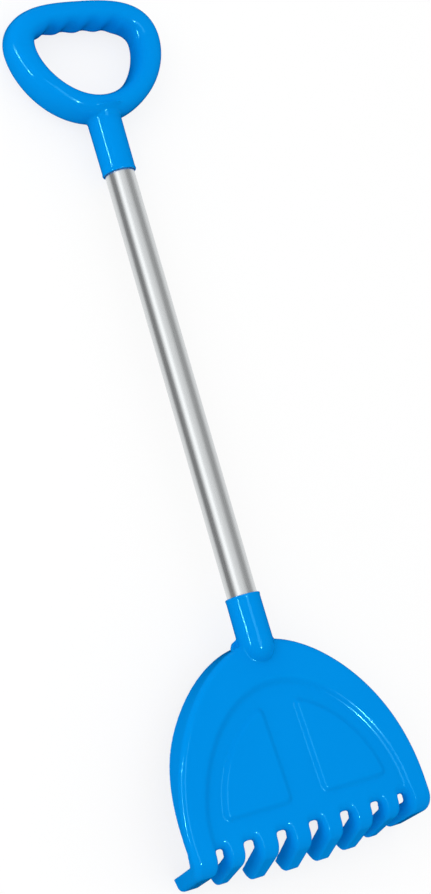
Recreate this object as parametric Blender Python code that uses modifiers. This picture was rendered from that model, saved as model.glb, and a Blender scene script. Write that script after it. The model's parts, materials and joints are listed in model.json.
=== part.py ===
"""Child's sand rake: a D grip and a hooked eight-tine head on an aluminium tube.

Everything is drawn with the shaft along Y, its axis at X = Z = 0, the mouth of the
head's socket at Y = 0 and the front of the head facing +Z. At the end the whole rake
is leant and lifted so that it lies at rest on Z = 0, on its tine tips and its grip.
"""

import math

import bmesh
import bpy
import numpy as np
from mathutils import Vector
from mathutils.geometry import interpolate_bezier

# Shaft
SHAFT_RADIUS = 0.0110
SHAFT_WALL = 0.0010
SHAFT_SHOWN = 0.3224
FIT_GAP = 0.0003

# Sockets of the grip and of the head
SOCKET_WALL = 0.0012
SOCKET_DRAFT = 0.0003
LIP_PROUD = 0.0003
LIP_HEIGHT = 0.0022
GRIP_SOCKET_DEPTH = 0.0380
HEAD_SOCKET_DEPTH = 0.0358
DOME_LENGTH = 0.0145

# Grip loop: centreline and section half sizes, measured from the mouth of its socket
GRIP_TOP = 0.1248
GRIP_BOTTOM = 0.0508
GRIP_HALF_WIDTH = 0.0523
GRIP_WIDEST = 0.1015
GRIP_TOP_HANDLE = 0.0240
GRIP_SHOULDER = 0.1242
GRIP_CHEEK = 0.0798
GRIP_CHIN_HANDLE = 0.0312
GRIP_SECTION_POWER = 2.4
BAR_HALF_HEIGHT = 0.0102
CHEEK_HALF_WIDTH = 0.0112
CHIN_HALF_HEIGHT = 0.0093
BAR_HALF_DEPTH = 0.0142
CHEEK_HALF_DEPTH = 0.0120
CHIN_HALF_DEPTH = 0.0155
GRIP_WALL = 0.0020
FINGER_PITCH = 0.0180
FINGER_DEPTH = 0.0021
FINGERS = 4
NECK_FLARE = 0.0060
VENT_RADIUS = 0.0065

# Head: outline of the arch, measured along the shaft from the socket's mouth
HEAD_WALL = 0.0022
ARCH_TOP = 0.0326
ARCH_HANDLE = 0.0482
HEAD_HALF_WIDTH = 0.0997
ARCH_SHOULDER = 0.0921
ARCH_FOOT = 0.1570
RIM_ROUND = 0.0055
PLATE_AT_NECK = 0.0035
PLATE_LEAN = 0.0855
NECK_STATION = 0.0330
PLATE_BOW = 0.35
BOW_START = 0.0600
BOW_END = 0.1600

# Flange behind the plate: deepest beside the socket, waisted above the tines
FLANGE_DEPTH = 0.0225
FLANGE_WAIST_DEPTH = 0.0085
FLANGE_TOE_DEPTH = 0.0115
BACK_TRIM = 0.0010
FLANGE_TAPER_START = 0.0820
FLANGE_TAPER_END = 0.1620

# Widening of the head's socket where it runs into the flange
COLLAR_RISE = 0.0042
COLLAR_FLARE = 0.0060
COLLAR_DROP = 0.0052
COLLAR_FRONT = 0.0040
COLLAR_BACK = 0.0190

# Recessed field: its arch at half height of the soft step that leads down to it
BAND_WIDTH = 0.0182
FIELD_TOP = 0.0645
FIELD_HANDLE = 0.0490
FIELD_HALF_WIDTH = HEAD_HALF_WIDTH - BAND_WIDTH
FIELD_SHOULDER = 0.1220
FIELD_DEPTH = 0.0025
STEP_WIDTH = 0.0080

# Two raised pads in the field
PAD_MARGIN = 0.0143
PAD_TOP = 0.0771
PAD_HANDLE = 0.0270
PAD_HALF_WIDTH = FIELD_HALF_WIDTH - PAD_MARGIN
PAD_SHOULDER = 0.1096
PAD_INNER = 0.0140
PAD_FOOT = 0.1475
PAD_HEIGHT = 0.0016
PAD_SLOPE = 0.0044
PAD_CORNER = 0.0050

# Slots between the tines: seven, with round ends and softly rounded front edges
SLOTS = 7
CORNER_SPARE = 0.0063
SLOT_PITCH = (HEAD_HALF_WIDTH - CORNER_SPARE) * 2.0 / SLOTS
SLOT_WIDTH = 0.0100
OUTER_SLOT_SHIFT = 0.0033
OUTER_SLOT_WIDTH = 0.0078
SLOT_END = 0.1643
SLOT_END_LENGTH = 0.0045
SLOT_END_POWER = 3.0
FLARE_SIDE = 0.0036
FLARE_END = 0.0080
FLARE_DEPTH = 0.0050

# Tines: hooked back from the blank, square channels open behind
HOOK_START = 0.1677
HOOK_LENGTH = 0.0115
HOOK_INNER = 0.0030
TINE_REACH = 0.0332
TINE_REACH_RISE = 0.95
CORNER_REACH = 0.0377
TINE_LEG_BACK = 0.0123
TINE_THICKNESS = 0.0120
TINE_THICKNESS_FALL = 50.0
CORNER_ROOT_THICKNESS = 0.0106
CORNER_THICKNESS = 0.0108
TINE_DIP = 26.5
TINE_DIP_FALL = 2150.0
TINE_TAPER = 0.033
TIP_RAKE = 0.0030
TIP_ROUND = 0.0035
BLANK_END = HOOK_START + HOOK_LENGTH + CORNER_REACH * 1.2
HAIR = 0.00002
WELD = 0.000005
CUT_PAST = 0.0100

# Fixing screws on the back of the sockets
SCREW_RADIUS = 0.00145
SCREW_LENGTH = 0.0085
SCREW_HEAD_RADIUS = 0.0028
SCREW_HEAD_HEIGHT = 0.0017
SCREW_BOSS_RADIUS = 0.0040
SCREW_BOSS_PROUD = 0.0009
SCREW_STATION = 0.0160

# Fineness
ROUND_STEPS = 36
ARCH_STEPS = 21
FILLET_STEPS = 4
LOOP_STEPS = 66
SECTION_STEPS = 18
STEP_STEPS = 5
SLOT_STEPS = 8
FLARE_STEPS = 3
HOOK_STEPS = 7
LINING_STEPS = 2
CAVITY_LOOP_STEPS = 40
CAVITY_SECTION_STEPS = 10
BAND_SPACING = 0.0330

SOCKET_BORE = SHAFT_RADIUS + FIT_GAP
SOCKET_RADIUS = SOCKET_BORE + SOCKET_WALL


def clear_scene():
    for item in list(bpy.data.objects):
        bpy.data.objects.remove(item, do_unlink=True)


def new_collection(name, helper=False):
    made = bpy.data.collections.new(name)
    bpy.context.scene.collection.children.link(made)
    made.hide_render = helper
    return made


def new_material(name, colour, roughness, metallic=0.0):
    made = bpy.data.materials.new(name)
    made.use_nodes = True
    shader = made.node_tree.nodes["Principled BSDF"]
    shader.inputs["Base Color"].default_value = (*colour, 1.0)
    shader.inputs["Roughness"].default_value = roughness
    shader.inputs["Metallic"].default_value = metallic
    return made


def add_mesh(name, shape, collection):
    """Turns a bmesh into an object, with its faces pointing out."""
    bmesh.ops.recalc_face_normals(shape, faces=shape.faces)
    mesh = bpy.data.meshes.new(name)
    shape.to_mesh(mesh)
    shape.free()
    made = bpy.data.objects.new(name, mesh)
    collection.objects.link(made)
    return made


def cut_or_join(body, tool, operation):
    """Puts an exact Boolean with one tool on the body, and keeps the tool as a hidden helper."""
    step = body.modifiers.new(tool.name, "BOOLEAN")
    step.operation = operation
    step.object = tool
    step.solver = "EXACT"
    tool.hide_render = True
    tool.display_type = "WIRE"


def settle_modifiers(body):
    """Makes the modifiers' result the body's own mesh."""
    bpy.context.view_layer.update()
    seen = body.evaluated_get(bpy.context.evaluated_depsgraph_get())
    mesh = bpy.data.meshes.new_from_object(seen)
    body.modifiers.clear()
    body.data = mesh


def weld(body):
    """Joins the points that the Booleans left a hair apart."""
    shape = bmesh.new()
    shape.from_mesh(body.data)
    bmesh.ops.remove_doubles(shape, verts=shape.verts, dist=WELD)
    shape.to_mesh(body.data)
    shape.free()


def finish_surface(body, material, angle=math.radians(35)):
    settle_modifiers(body)
    weld(body)
    body.data.materials.clear()
    body.data.materials.append(material)
    body.data.shade_smooth()
    body.data.set_sharp_from_angle(angle=angle)


def smooth_step(value, start, end):
    share = min(max((value - start) / (end - start), 0.0), 1.0)
    return share * share * (3.0 - 2.0 * share)


def fillet(corners, radii, steps=FILLET_STEPS):
    """Rounds the corners of a closed outline, each with its own radius."""
    outline = []
    count = len(corners)
    for index, radius in enumerate(radii):
        here = Vector(corners[index])
        before = (Vector(corners[index - 1]) - here).normalized()
        after = (Vector(corners[(index + 1) % count]) - here).normalized()
        if radius <= 0.0:
            outline.append(here)
            continue
        half = before.angle(after) / 2.0
        reach = radius / math.tan(half)
        centre = here + (before + after).normalized() * radius / math.sin(half)
        first = here + before * reach - centre
        last = here + after * reach - centre
        sweep = first.angle(last)
        for step in range(steps + 1):
            share = step / steps
            towards = first * math.sin((1 - share) * sweep) + last * math.sin(share * sweep)
            outline.append(centre + towards / math.sin(sweep))
    return outline


def arch_half(top, handle, half_width, shoulder, foot, inset=0.0):
    """Right half of an arch outline, from its crown down its side, moved inwards by inset."""
    crown, pull = Vector((0, -top)), Vector((handle, -top))
    push, side = Vector((half_width, -shoulder)), Vector((half_width, -ARCH_FOOT))
    curve = interpolate_bezier(crown, pull, push, side, ARCH_STEPS)
    points = []
    for index, point in enumerate(curve):
        ahead = curve[min(index + 1, ARCH_STEPS - 1)]
        behind = curve[max(index - 1, 0)]
        along = (ahead - behind).normalized()
        if index == 0:
            along = Vector((1.0, 0.0))
        if index == ARCH_STEPS - 1:
            along = Vector((0.0, -1.0))
        inwards = Vector((along.y, -along.x))
        points.append(point + inwards * inset)
    points[0].x = 0.0
    points.append(Vector((half_width - inset, -foot)))
    return points


def arch_outline(top, handle, half_width, shoulder, foot, inset=0.0):
    right = arch_half(top, handle, half_width, shoulder, foot, inset)
    left = [Vector((-point.x, point.y)) for point in reversed(right[1:])]
    return right + left


def prism(outline, low, high, spread=0.0):
    """Solid between two heights over an outline in X and Y. spread widens its high end."""
    shape = bmesh.new()
    count = len(outline)
    lower = [shape.verts.new((point.x, point.y, low)) for point in outline]
    upper = [shape.verts.new((point.x, point.y, high)) for point in spread_outline(outline, spread)]
    shape.faces.new(lower)
    shape.faces.new(upper)
    for index in range(count):
        after = (index + 1) % count
        shape.faces.new((lower[index], lower[after], upper[after], upper[index]))
    return shape


def spread_outline(outline, distance):
    """Moves each point of a closed outline outwards by one distance."""
    if distance == 0.0:
        return outline
    count = len(outline)
    area = sum(outline[index - 1].cross(outline[index]) for index in range(count))
    turn = 1.0 if area > 0.0 else -1.0
    moved = []
    for index, point in enumerate(outline):
        first = (point - outline[index - 1]).normalized()
        second = (outline[(index + 1) % count] - point).normalized()
        out_first = Vector((first.y, -first.x)) * turn
        out_second = Vector((second.y, -second.x)) * turn
        mean = (out_first + out_second).normalized()
        moved.append(point + mean * distance / max(mean.dot(out_first), 0.35))
    return moved


def cross_prism(profile, left, right):
    """Solid across the head from a side profile of (Z, Y) points."""
    shape = bmesh.new()
    count = len(profile)
    near = [shape.verts.new((left, point[1], point[0])) for point in profile]
    far = [shape.verts.new((right, point[1], point[0])) for point in profile]
    shape.faces.new(near)
    shape.faces.new(far)
    for index in range(count):
        after = (index + 1) % count
        shape.faces.new((near[index], near[after], far[after], far[index]))
    return shape


def turned(profile, steps=ROUND_STEPS):
    """Solid of revolution about Y from (radius, Y) points. Ends off the axis are closed flat."""
    shape = bmesh.new()
    rings = []
    for radius, station in profile:
        if radius == 0.0:
            rings.append([shape.verts.new((0.0, station, 0.0))])
            continue
        ring = []
        for step in range(steps):
            angle = 2.0 * math.pi * step / steps
            ring.append(shape.verts.new((radius * math.sin(angle), station, radius * math.cos(angle))))
        rings.append(ring)
    for lower, upper in zip(rings, rings[1:]):
        for step in range(steps):
            after = (step + 1) % steps
            corners = [lower[step % len(lower)], lower[after % len(lower)]]
            corners += [upper[after % len(upper)], upper[step % len(upper)]]
            shape.faces.new(list(dict.fromkeys(corners)))
    for end in (rings[0], rings[-1]):
        if len(end) > 1:
            shape.faces.new(end)
    return shape


def turned_tube(inner, outer, low, high, steps=ROUND_STEPS):
    """Plain tube about Y."""
    shape = bmesh.new()
    rings = []
    for radius, station in ((outer, low), (outer, high), (inner, high), (inner, low)):
        ring = []
        for step in range(steps):
            angle = 2.0 * math.pi * step / steps
            ring.append(shape.verts.new((radius * math.sin(angle), station, radius * math.cos(angle))))
        rings.append(ring)
    for index, near in enumerate(rings):
        far = rings[(index + 1) % 4]
        for step in range(steps):
            after = (step + 1) % steps
            shape.faces.new((near[step], near[after], far[after], far[step]))
    return shape


def bevel_marked(body, radius, segments=FILLET_STEPS):
    """Rounds the edges that carry a bevel weight."""
    rounding = body.modifiers.new("rounding", "BEVEL")
    rounding.limit_method = "WEIGHT"
    rounding.width = radius
    rounding.segments = segments
    rounding.use_clamp_overlap = False
    settle_modifiers(body)


def mark_edges(shape, choose):
    """Gives each edge the bevel weight that choose returns for it."""
    weight = shape.edges.layers.float.new("bevel_weight_edge")
    for edge in shape.edges:
        edge[weight] = choose(edge)


def slot_edges():
    """(left, right) of each slot, from the left side of the head to the right."""
    slots = []
    for index in range(SLOTS):
        place = index - (SLOTS - 1) // 2
        outer = abs(place) == (SLOTS - 1) // 2
        centre = place * SLOT_PITCH - math.copysign(OUTER_SLOT_SHIFT, place) * outer
        half = (OUTER_SLOT_WIDTH if outer else SLOT_WIDTH) / 2.0
        slots.append((centre - half, centre + half))
    return slots


def tine_spans():
    """(left, right) of each tine, in the same order."""
    slots = slot_edges()
    inner = [(slots[i][1], slots[i + 1][0]) for i in range(SLOTS - 1)]
    return [(-HEAD_HALF_WIDTH, slots[0][0])] + inner + [(slots[-1][1], HEAD_HALF_WIDTH)]


def stack(rings):
    """Solid through a pile of closed outlines, each with the same number of points."""
    shape = bmesh.new()
    loops = [[shape.verts.new(point) for point in ring] for ring in rings]
    shape.faces.new(loops[0])
    shape.faces.new(loops[-1])
    for near, far in zip(loops, loops[1:]):
        for index in range(len(near)):
            after = (index + 1) % len(near)
            shape.faces.new((near[index], near[after], far[after], far[index]))
    return shape


def front_level(x):
    """Height of the front at the toe: field in the middle, band at the sides, step between."""
    inner = FIELD_HALF_WIDTH - STEP_WIDTH / 2.0
    return FIELD_DEPTH * (smooth_step(abs(x), inner, inner + STEP_WIDTH) - 1.0)


def make_head_block(helpers):
    """The arched plate, flange and straight tines as one solid block with a rounded front edge."""
    outline = arch_outline(ARCH_TOP, ARCH_HANDLE, HEAD_HALF_WIDTH, ARCH_SHOULDER, BLANK_END)
    shape = prism(outline, -FLANGE_DEPTH - BACK_TRIM, 0.0)

    def weight(edge):
        front = all(abs(vert.co.z) < 1e-9 for vert in edge.verts)
        foot = all(abs(vert.co.y + BLANK_END) < 1e-9 for vert in edge.verts)
        return 1.0 if front and not foot else 0.0

    mark_edges(shape, weight)
    block = add_mesh("head_block", shape, helpers)
    bevel_marked(block, RIM_ROUND)
    return block


def field_space(sink, steps=STEP_STEPS):
    """The space over the recessed field, with a soft S-shaped step all round, open at the toe."""
    rings = []
    foot = BLANK_END + CUT_PAST
    for step in range(steps + 2):
        share = step / steps
        spread = STEP_WIDTH * (share - 0.5)
        level = FIELD_DEPTH * (smooth_step(share, 0.0, 1.0) - 1.0) + HAIR * share
        if step > steps:
            level = FIELD_DEPTH
        outline = arch_outline(FIELD_TOP, FIELD_HANDLE, FIELD_HALF_WIDTH, FIELD_SHOULDER, foot, -spread)
        rings.append([(point.x, point.y, level - sink) for point in outline])
    return stack(rings)


def pad_outline(side):
    """Outline of one raised pad at half height: straight inner and lower edges, curved outer edge."""
    curve = arch_half(PAD_TOP, PAD_HANDLE, PAD_HALF_WIDTH, PAD_SHOULDER, PAD_FOOT)[:-1]
    peak = cross_at(curve, 0, PAD_INNER)
    outer = cross_at(curve, 1, -PAD_FOOT)
    low = Vector((PAD_INNER, -PAD_FOOT))
    ahead = cross_at(curve, 0, PAD_INNER + PAD_CORNER)
    above = cross_at(curve, 1, -PAD_FOOT + PAD_CORNER)
    kept = [point for point in curve if point.x > ahead.x + 0.0005 and point.y > above.y + 0.0005]
    points = bend(peak - Vector((0, PAD_CORNER)), peak, ahead) + kept[::2]
    points += bend(above, outer, outer - Vector((PAD_CORNER, 0)))
    points += bend(low + Vector((PAD_CORNER, 0)), low, low + Vector((0, PAD_CORNER)))
    return [Vector((point.x * side, point.y)) for point in points]


def cross_at(curve, axis, value):
    """Where a curve first passes a value of X (axis 0) or Y (axis 1)."""
    for first, second in zip(curve, curve[1:]):
        if (first[axis] - value) * (second[axis] - value) <= 0.0:
            return first.lerp(second, (value - first[axis]) / (second[axis] - first[axis]))
    return curve[-1]


def bend(start, corner, end, steps=FILLET_STEPS):
    """Rounded way from start to end that leans on a corner."""
    points = []
    for step in range(steps + 1):
        share = step / steps
        points.append(start * (1 - share) ** 2 + corner * 2 * share * (1 - share) + end * share ** 2)
    return points


def make_pad(side, helpers):
    """A raised pad, solid, with soft sides, rooted in the plate."""
    middle = pad_outline(side)
    root = spread_outline(middle, PAD_SLOPE / 2.0)
    rings = [[(point.x, point.y, -FIELD_DEPTH - HEAD_WALL / 2.0) for point in root]]
    for step in range(STEP_STEPS):
        share = step / (STEP_STEPS - 1)
        level = -FIELD_DEPTH - HAIR + (PAD_HEIGHT + HAIR) * smooth_step(share, 0.0, 1.0)
        outline = spread_outline(middle, PAD_SLOPE * (0.5 - share))
        rings.append([(point.x, point.y, level) for point in outline])
    return add_mesh(f"pad_{'right' if side > 0 else 'left'}", stack(rings), helpers)


def slot_ring(left, right, side, end, depth, steps=SLOT_STEPS):
    """Outline of a slot at one depth under the front, widened at its sides and at its round end."""
    centre = (left + right) / 2.0
    half = (right - left) / 2.0 + side
    base = -SLOT_END - SLOT_END_LENGTH
    points = [(centre + half, -BLANK_END - CUT_PAST)]
    for step in range(steps + 1):
        angle = math.pi * step / steps
        across = math.copysign(abs(math.cos(angle)) ** (2.0 / SLOT_END_POWER), math.cos(angle))
        along = abs(math.sin(angle)) ** (2.0 / SLOT_END_POWER)
        points.append((centre + half * across, base + (SLOT_END_LENGTH + end) * along))
    points.append((centre - half, -BLANK_END - CUT_PAST))
    return [(x, y, front_level(x) - depth) for x, y in points]


def slot_space(left, right, wall=0.0):
    """A slot with its rounded front edges. With a wall, the slot and the material that lines it."""
    deep = FLANGE_DEPTH * 2.0
    steps = LINING_STEPS if wall else FLARE_STEPS
    round_steps = SLOT_STEPS - 2 if wall else SLOT_STEPS
    low = slot_ring(left, right, wall, wall, deep, round_steps)
    rings = [[(x, y, -deep) for x, y, _ in low]]
    for step in range(steps + 1):
        angle = math.pi / 2.0 * step / steps
        open_share = 1.0 - math.cos(angle)
        lining = wall * math.cos(angle)
        depth = FLARE_DEPTH * (1.0 - math.sin(angle)) + wall * math.sin(angle) - HAIR
        side = FLARE_SIDE * open_share + lining
        end = FLARE_END * open_share + lining
        rings.append(slot_ring(left, right, side, end, depth, round_steps))
    top = wall - FIELD_DEPTH / 2.0
    rings.append(slot_ring(left, right, FLARE_SIDE * 1.3, FLARE_END * 1.3, top, round_steps))
    return stack(rings)


def tine_hook(centre, corner_tine):
    """How a tine is hooked: its turn, and its length on the blank up to its tip."""
    turn = math.radians(90.0 - TINE_DIP + TINE_DIP_FALL * centre * centre)
    reach = CORNER_REACH if corner_tine else TINE_REACH + TINE_REACH_RISE * centre * centre
    return turn, HOOK_LENGTH + reach - HOOK_INNER * math.tan(turn / 2.0)


def tip_cutter(index, left, right, wall, helpers):
    """Cuts a tine of the blank to its length, with a raked end that is rounded at the front."""
    corner_tine = index in (0, SLOTS)
    face = 0.0 if corner_tine else -FIELD_DEPTH
    back = -FLANGE_TOE_DEPTH
    length = tine_hook((left + right) / 2.0, corner_tine)[1]
    end = -HOOK_START - length + wall
    front = Vector((face - wall, end + TIP_RAKE))
    corners = [Vector((face - wall, -HOOK_START)), front, Vector((back, end)), Vector((back, -HOOK_START))]
    rounded = fillet(corners, [0.0, TIP_ROUND - wall / 2.0, 0.0, 0.0])[1:-1]
    slope = (rounded[-1] - rounded[-2]).normalized()
    path = [rounded[0] + Vector((0.003, 0.006))] + rounded + [rounded[-1] + slope * TINE_REACH]
    far = -BLANK_END - CUT_PAST
    profile = [(point.x, point.y) for point in path] + [(path[-1].x, far), (path[0].x, far)]
    name = f"tip_{index + 1}" + ("_lining" if wall else "")
    edge = SLOT_WIDTH / 4.0
    return add_mesh(name, cross_prism(profile, left - edge, right + edge), helpers)


def make_back_cutter(helpers):
    """Cuts the flange's back edge, which is deepest beside the socket and shallow at the toe."""
    deep = FLANGE_DEPTH * 2.5
    points = [(-deep, CUT_PAST), (-FLANGE_DEPTH, CUT_PAST)]
    steps = 10
    for step in range(steps + 1):
        station = FLANGE_TAPER_START + (FLANGE_TAPER_END - FLANGE_TAPER_START) * step / steps
        share = smooth_step(station, FLANGE_TAPER_START, FLANGE_TAPER_END)
        points.append((-FLANGE_DEPTH + (FLANGE_DEPTH - FLANGE_WAIST_DEPTH) * share, -station))
    points += [(-FLANGE_TOE_DEPTH, -HOOK_START), (-FLANGE_TOE_DEPTH, -BLANK_END - CUT_PAST)]
    points.append((-deep, -BLANK_END - CUT_PAST))
    reach = HEAD_HALF_WIDTH + CUT_PAST
    return add_mesh("back_cutter", cross_prism(points, -reach, reach), helpers)


def make_hollow(helpers):
    """Everything behind the front: one wall inside the block on every side, open to the back."""
    inner = HEAD_WALL
    outline = arch_outline(ARCH_TOP, ARCH_HANDLE, HEAD_HALF_WIDTH, ARCH_SHOULDER, BLANK_END, inner)
    shape = prism(outline, -FLANGE_DEPTH * 2.0, -inner)

    def weight(edge):
        front = all(abs(vert.co.z + inner) < 1e-9 for vert in edge.verts)
        return 1.0 if front else 0.0

    mark_edges(shape, weight)
    hollow = add_mesh("hollow", shape, helpers)
    bevel_marked(hollow, RIM_ROUND - inner, 2)
    field = add_mesh("hollow_field", field_space(inner, LINING_STEPS + 1), helpers)
    cut_or_join(hollow, field, "DIFFERENCE")
    for side in (-1, 1):
        relief = spread_outline(pad_outline(side), -PAD_SLOPE / 2.0)
        roof = -FIELD_DEPTH - inner
        shape = prism(relief, roof - inner, roof + PAD_HEIGHT)
        cut_or_join(hollow, add_mesh(f"hollow_pad_{side + 1}", shape, helpers), "UNION")
    for index, (left, right) in enumerate(slot_edges()):
        lining = add_mesh(f"slot_{index + 1}_lining", slot_space(left, right, inner), helpers)
        cut_or_join(hollow, lining, "DIFFERENCE")
    for index, (left, right) in enumerate(tine_spans()):
        cut_or_join(hollow, tip_cutter(index, left, right, inner, helpers), "DIFFERENCE")
    settle_modifiers(hollow)
    return hollow


def hooked(place, centre, width, corner_tine):
    """Where a point of the flat blank goes when its tine is squeezed, narrowed and hooked back."""
    turn, length = tine_hook(centre, corner_tine)
    face = 0.0 if corner_tine else -FIELD_DEPTH
    leg = FLANGE_TOE_DEPTH if corner_tine else TINE_LEG_BACK
    flat = (leg + face) / (FLANGE_TOE_DEPTH + face)
    narrowed = 1.0 - 2.0 * TINE_TAPER * max(-place.y - SLOT_END, 0.0) / width
    x = centre + (place.x - centre) * narrowed
    squeezed = 1.0 + (flat - 1.0) * smooth_step(-place.y, SLOT_END + 0.0007, HOOK_START)
    z = face + (place.z - face) * squeezed
    past = -HOOK_START - place.y
    if past <= 0.0:
        return Vector((x, place.y, z))
    if corner_tine:
        root, tip = CORNER_ROOT_THICKNESS, CORNER_THICKNESS
    else:
        root = tip = TINE_THICKNESS * (1.0 - TINE_THICKNESS_FALL * centre * centre)
    thickness = leg + face
    wanted = root + (tip - root) * max(past - HOOK_LENGTH, 0.0) / (length - HOOK_LENGTH)
    wanted = thickness + (wanted - thickness) * smooth_step(past, 0.0, HOOK_LENGTH)
    radius = HOOK_INNER + (z + leg) * wanted / thickness
    angle = turn * min(past / HOOK_LENGTH, 1.0)
    beyond = max(past - HOOK_LENGTH, 0.0)
    y = -HOOK_START - radius * math.sin(angle) - beyond * math.cos(turn)
    z = -leg - HOOK_INNER + radius * math.cos(angle) - beyond * math.sin(turn)
    return Vector((x, y, z))


def hook_tines(shape):
    """Hooks the blank's straight tines back, each about its own bend."""
    for step in range(HOOK_STEPS + 1):
        station = HOOK_START + HOOK_LENGTH * step / HOOK_STEPS
        split_at(shape, Vector((0, -station, 0)), Vector((0, 1, 0)))
    spans = tine_spans()
    for vert in shape.verts:
        if vert.co.y > -SLOT_END:
            continue
        gaps = [max(left - vert.co.x, vert.co.x - right) for left, right in spans]
        index = gaps.index(min(gaps))
        left, right = spans[index]
        vert.co = hooked(vert.co.copy(), (left + right) / 2.0, right - left, index in (0, SLOTS))


def split_at(shape, point, normal):
    everything = shape.verts[:] + shape.edges[:] + shape.faces[:]
    bmesh.ops.bisect_plane(shape, geom=everything, dist=1e-7, plane_co=point, plane_no=normal)


def bowed(place):
    """Where a point of the flat head goes when the plate leans forward to the toe and bows.

    The plate bows back at its sides, and whatever stands behind it turns with its surface.
    """
    lean = PLATE_AT_NECK + PLATE_LEAN * (-NECK_STATION - place.y)
    bow = PLATE_BOW * smooth_step(-place.y, BOW_START, BOW_END)
    tilt = math.atan(2.0 * bow * place.x)
    x = place.x + place.z * math.sin(tilt)
    z = lean - bow * place.x * place.x + place.z * math.cos(tilt)
    return Vector((x, place.y, z))


def bend_head(body):
    """Hooks the tines of the flat shell, splits it into bands and bends it to the plate's lean and bow."""
    shape = bmesh.new()
    shape.from_mesh(body.data)
    across = int(HEAD_HALF_WIDTH / BAND_SPACING)
    for index in range(-across, across + 1):
        split_at(shape, Vector((index * BAND_SPACING, 0, 0)), Vector((1, 0, 0)))
    for index in range(1, 4):
        station = BOW_START + (BOW_END - BOW_START) * index / 4
        split_at(shape, Vector((0, -station, 0)), Vector((0, 1, 0)))
    hook_tines(shape)
    for vert in shape.verts:
        vert.co = bowed(vert.co)
    bmesh.ops.remove_doubles(shape, verts=shape.verts, dist=WELD)
    bmesh.ops.triangulate(shape, faces=shape.faces)
    shape.to_mesh(body.data)
    shape.free()


def socket_profile(depth, domed, flare=0.0):
    """Outside of a socket as (radius, Y) going away from its mouth at Y = 0."""
    end_radius = SOCKET_RADIUS + SOCKET_DRAFT
    profile = [(SOCKET_RADIUS + LIP_PROUD - 0.0004, 0.0), (SOCKET_RADIUS + LIP_PROUD, -0.0004)]
    profile += [(SOCKET_RADIUS + LIP_PROUD, -LIP_HEIGHT + 0.0005), (SOCKET_RADIUS, -LIP_HEIGHT)]
    if not domed:
        profile += [(end_radius, -depth + flare), (end_radius + flare / 4.0, -depth + flare / 3.0)]
        profile += [(end_radius + flare, -depth - flare / 3.0)]
        return profile
    steps = 7
    for step in range(steps):
        angle = math.pi / 2.0 * step / steps
        profile.append((end_radius * math.cos(angle), -depth - DOME_LENGTH * math.sin(angle)))
    profile.append((0.0, -depth - DOME_LENGTH))
    return profile


def place_screw_parts(body, station, helpers):
    """Gives a socket the boss and the hole for its fixing screw, on its back."""
    boss_face = -(SOCKET_RADIUS + SOCKET_DRAFT + SCREW_BOSS_PROUD)
    boss = round_post(SCREW_BOSS_RADIUS, boss_face, -SOCKET_BORE - FIT_GAP, station)
    cut_or_join(body, add_mesh(body.name + "_boss", boss, helpers), "UNION")
    return boss_face


def round_post(radius, low, high, station, steps=24):
    """Upright round post at X = 0, from low to high."""
    shape = bmesh.new()
    size = {"radius1": radius, "radius2": radius, "depth": high - low}
    bmesh.ops.create_cone(shape, cap_ends=True, segments=steps, **size)
    bmesh.ops.translate(shape, verts=shape.verts, vec=(0.0, station, (low + high) / 2.0))
    return shape


def make_screw(name, station, collection):
    """Pan-head screw that enters the socket's back and the tube, pointing to +Z."""
    seat = -(SOCKET_RADIUS + SOCKET_DRAFT + SCREW_BOSS_PROUD) - FIT_GAP
    crown = SCREW_HEAD_HEIGHT
    profile = [(SCREW_HEAD_RADIUS * 0.62, -crown), (SCREW_HEAD_RADIUS * 0.9, -crown * 0.72)]
    profile += [(SCREW_HEAD_RADIUS, -crown * 0.35), (SCREW_HEAD_RADIUS, 0.0), (SCREW_RADIUS, 0.0)]
    profile += [(SCREW_RADIUS, SCREW_LENGTH * 0.75), (0.0, SCREW_LENGTH)]
    shape = turned(profile, 24)
    for vert in shape.verts:
        vert.co = Vector((vert.co.x, station + vert.co.z, seat + vert.co.y))
    return add_mesh(name, shape, collection)


def make_shaft(collection, helpers):
    """The tube, open at both ends, drilled for its two screws."""
    low = -HEAD_SOCKET_DEPTH
    high = SHAFT_SHOWN + GRIP_SOCKET_DEPTH
    shape = turned_tube(SHAFT_RADIUS - SHAFT_WALL, SHAFT_RADIUS, low, high)
    tube = add_mesh("shaft_tube", shape, collection)
    for index, station in enumerate((-SCREW_STATION, SHAFT_SHOWN + SCREW_STATION)):
        hole = round_post(SCREW_RADIUS + FIT_GAP, -2 * SHAFT_RADIUS, 0.0, station)
        cut_or_join(tube, add_mesh(f"shaft_hole_{index}", hole, helpers), "DIFFERENCE")
    return tube


def make_collar(helpers):
    """Widening of the socket behind the plate's front face, where it runs into the flange."""
    top = -ARCH_TOP + COLLAR_RISE
    foot = top - COLLAR_DROP
    radius = SOCKET_RADIUS + COLLAR_FLARE
    profile = [(SOCKET_RADIUS, top), (radius - COLLAR_FLARE * 0.25, top - COLLAR_DROP * 0.45)]
    profile += [(radius, foot), (radius, foot - HEAD_WALL)]
    collar = add_mesh("collar", turned(profile), helpers)
    low = foot - radius
    section = [(-COLLAR_BACK, 0.0), (-COLLAR_FRONT, 0.0), (-COLLAR_FRONT, low), (-COLLAR_BACK, low)]
    keep = cross_prism(section, -2.0 * radius, 2.0 * radius)
    cut_or_join(collar, add_mesh("collar_room", keep, helpers), "INTERSECT")
    settle_modifiers(collar)
    return collar


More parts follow.
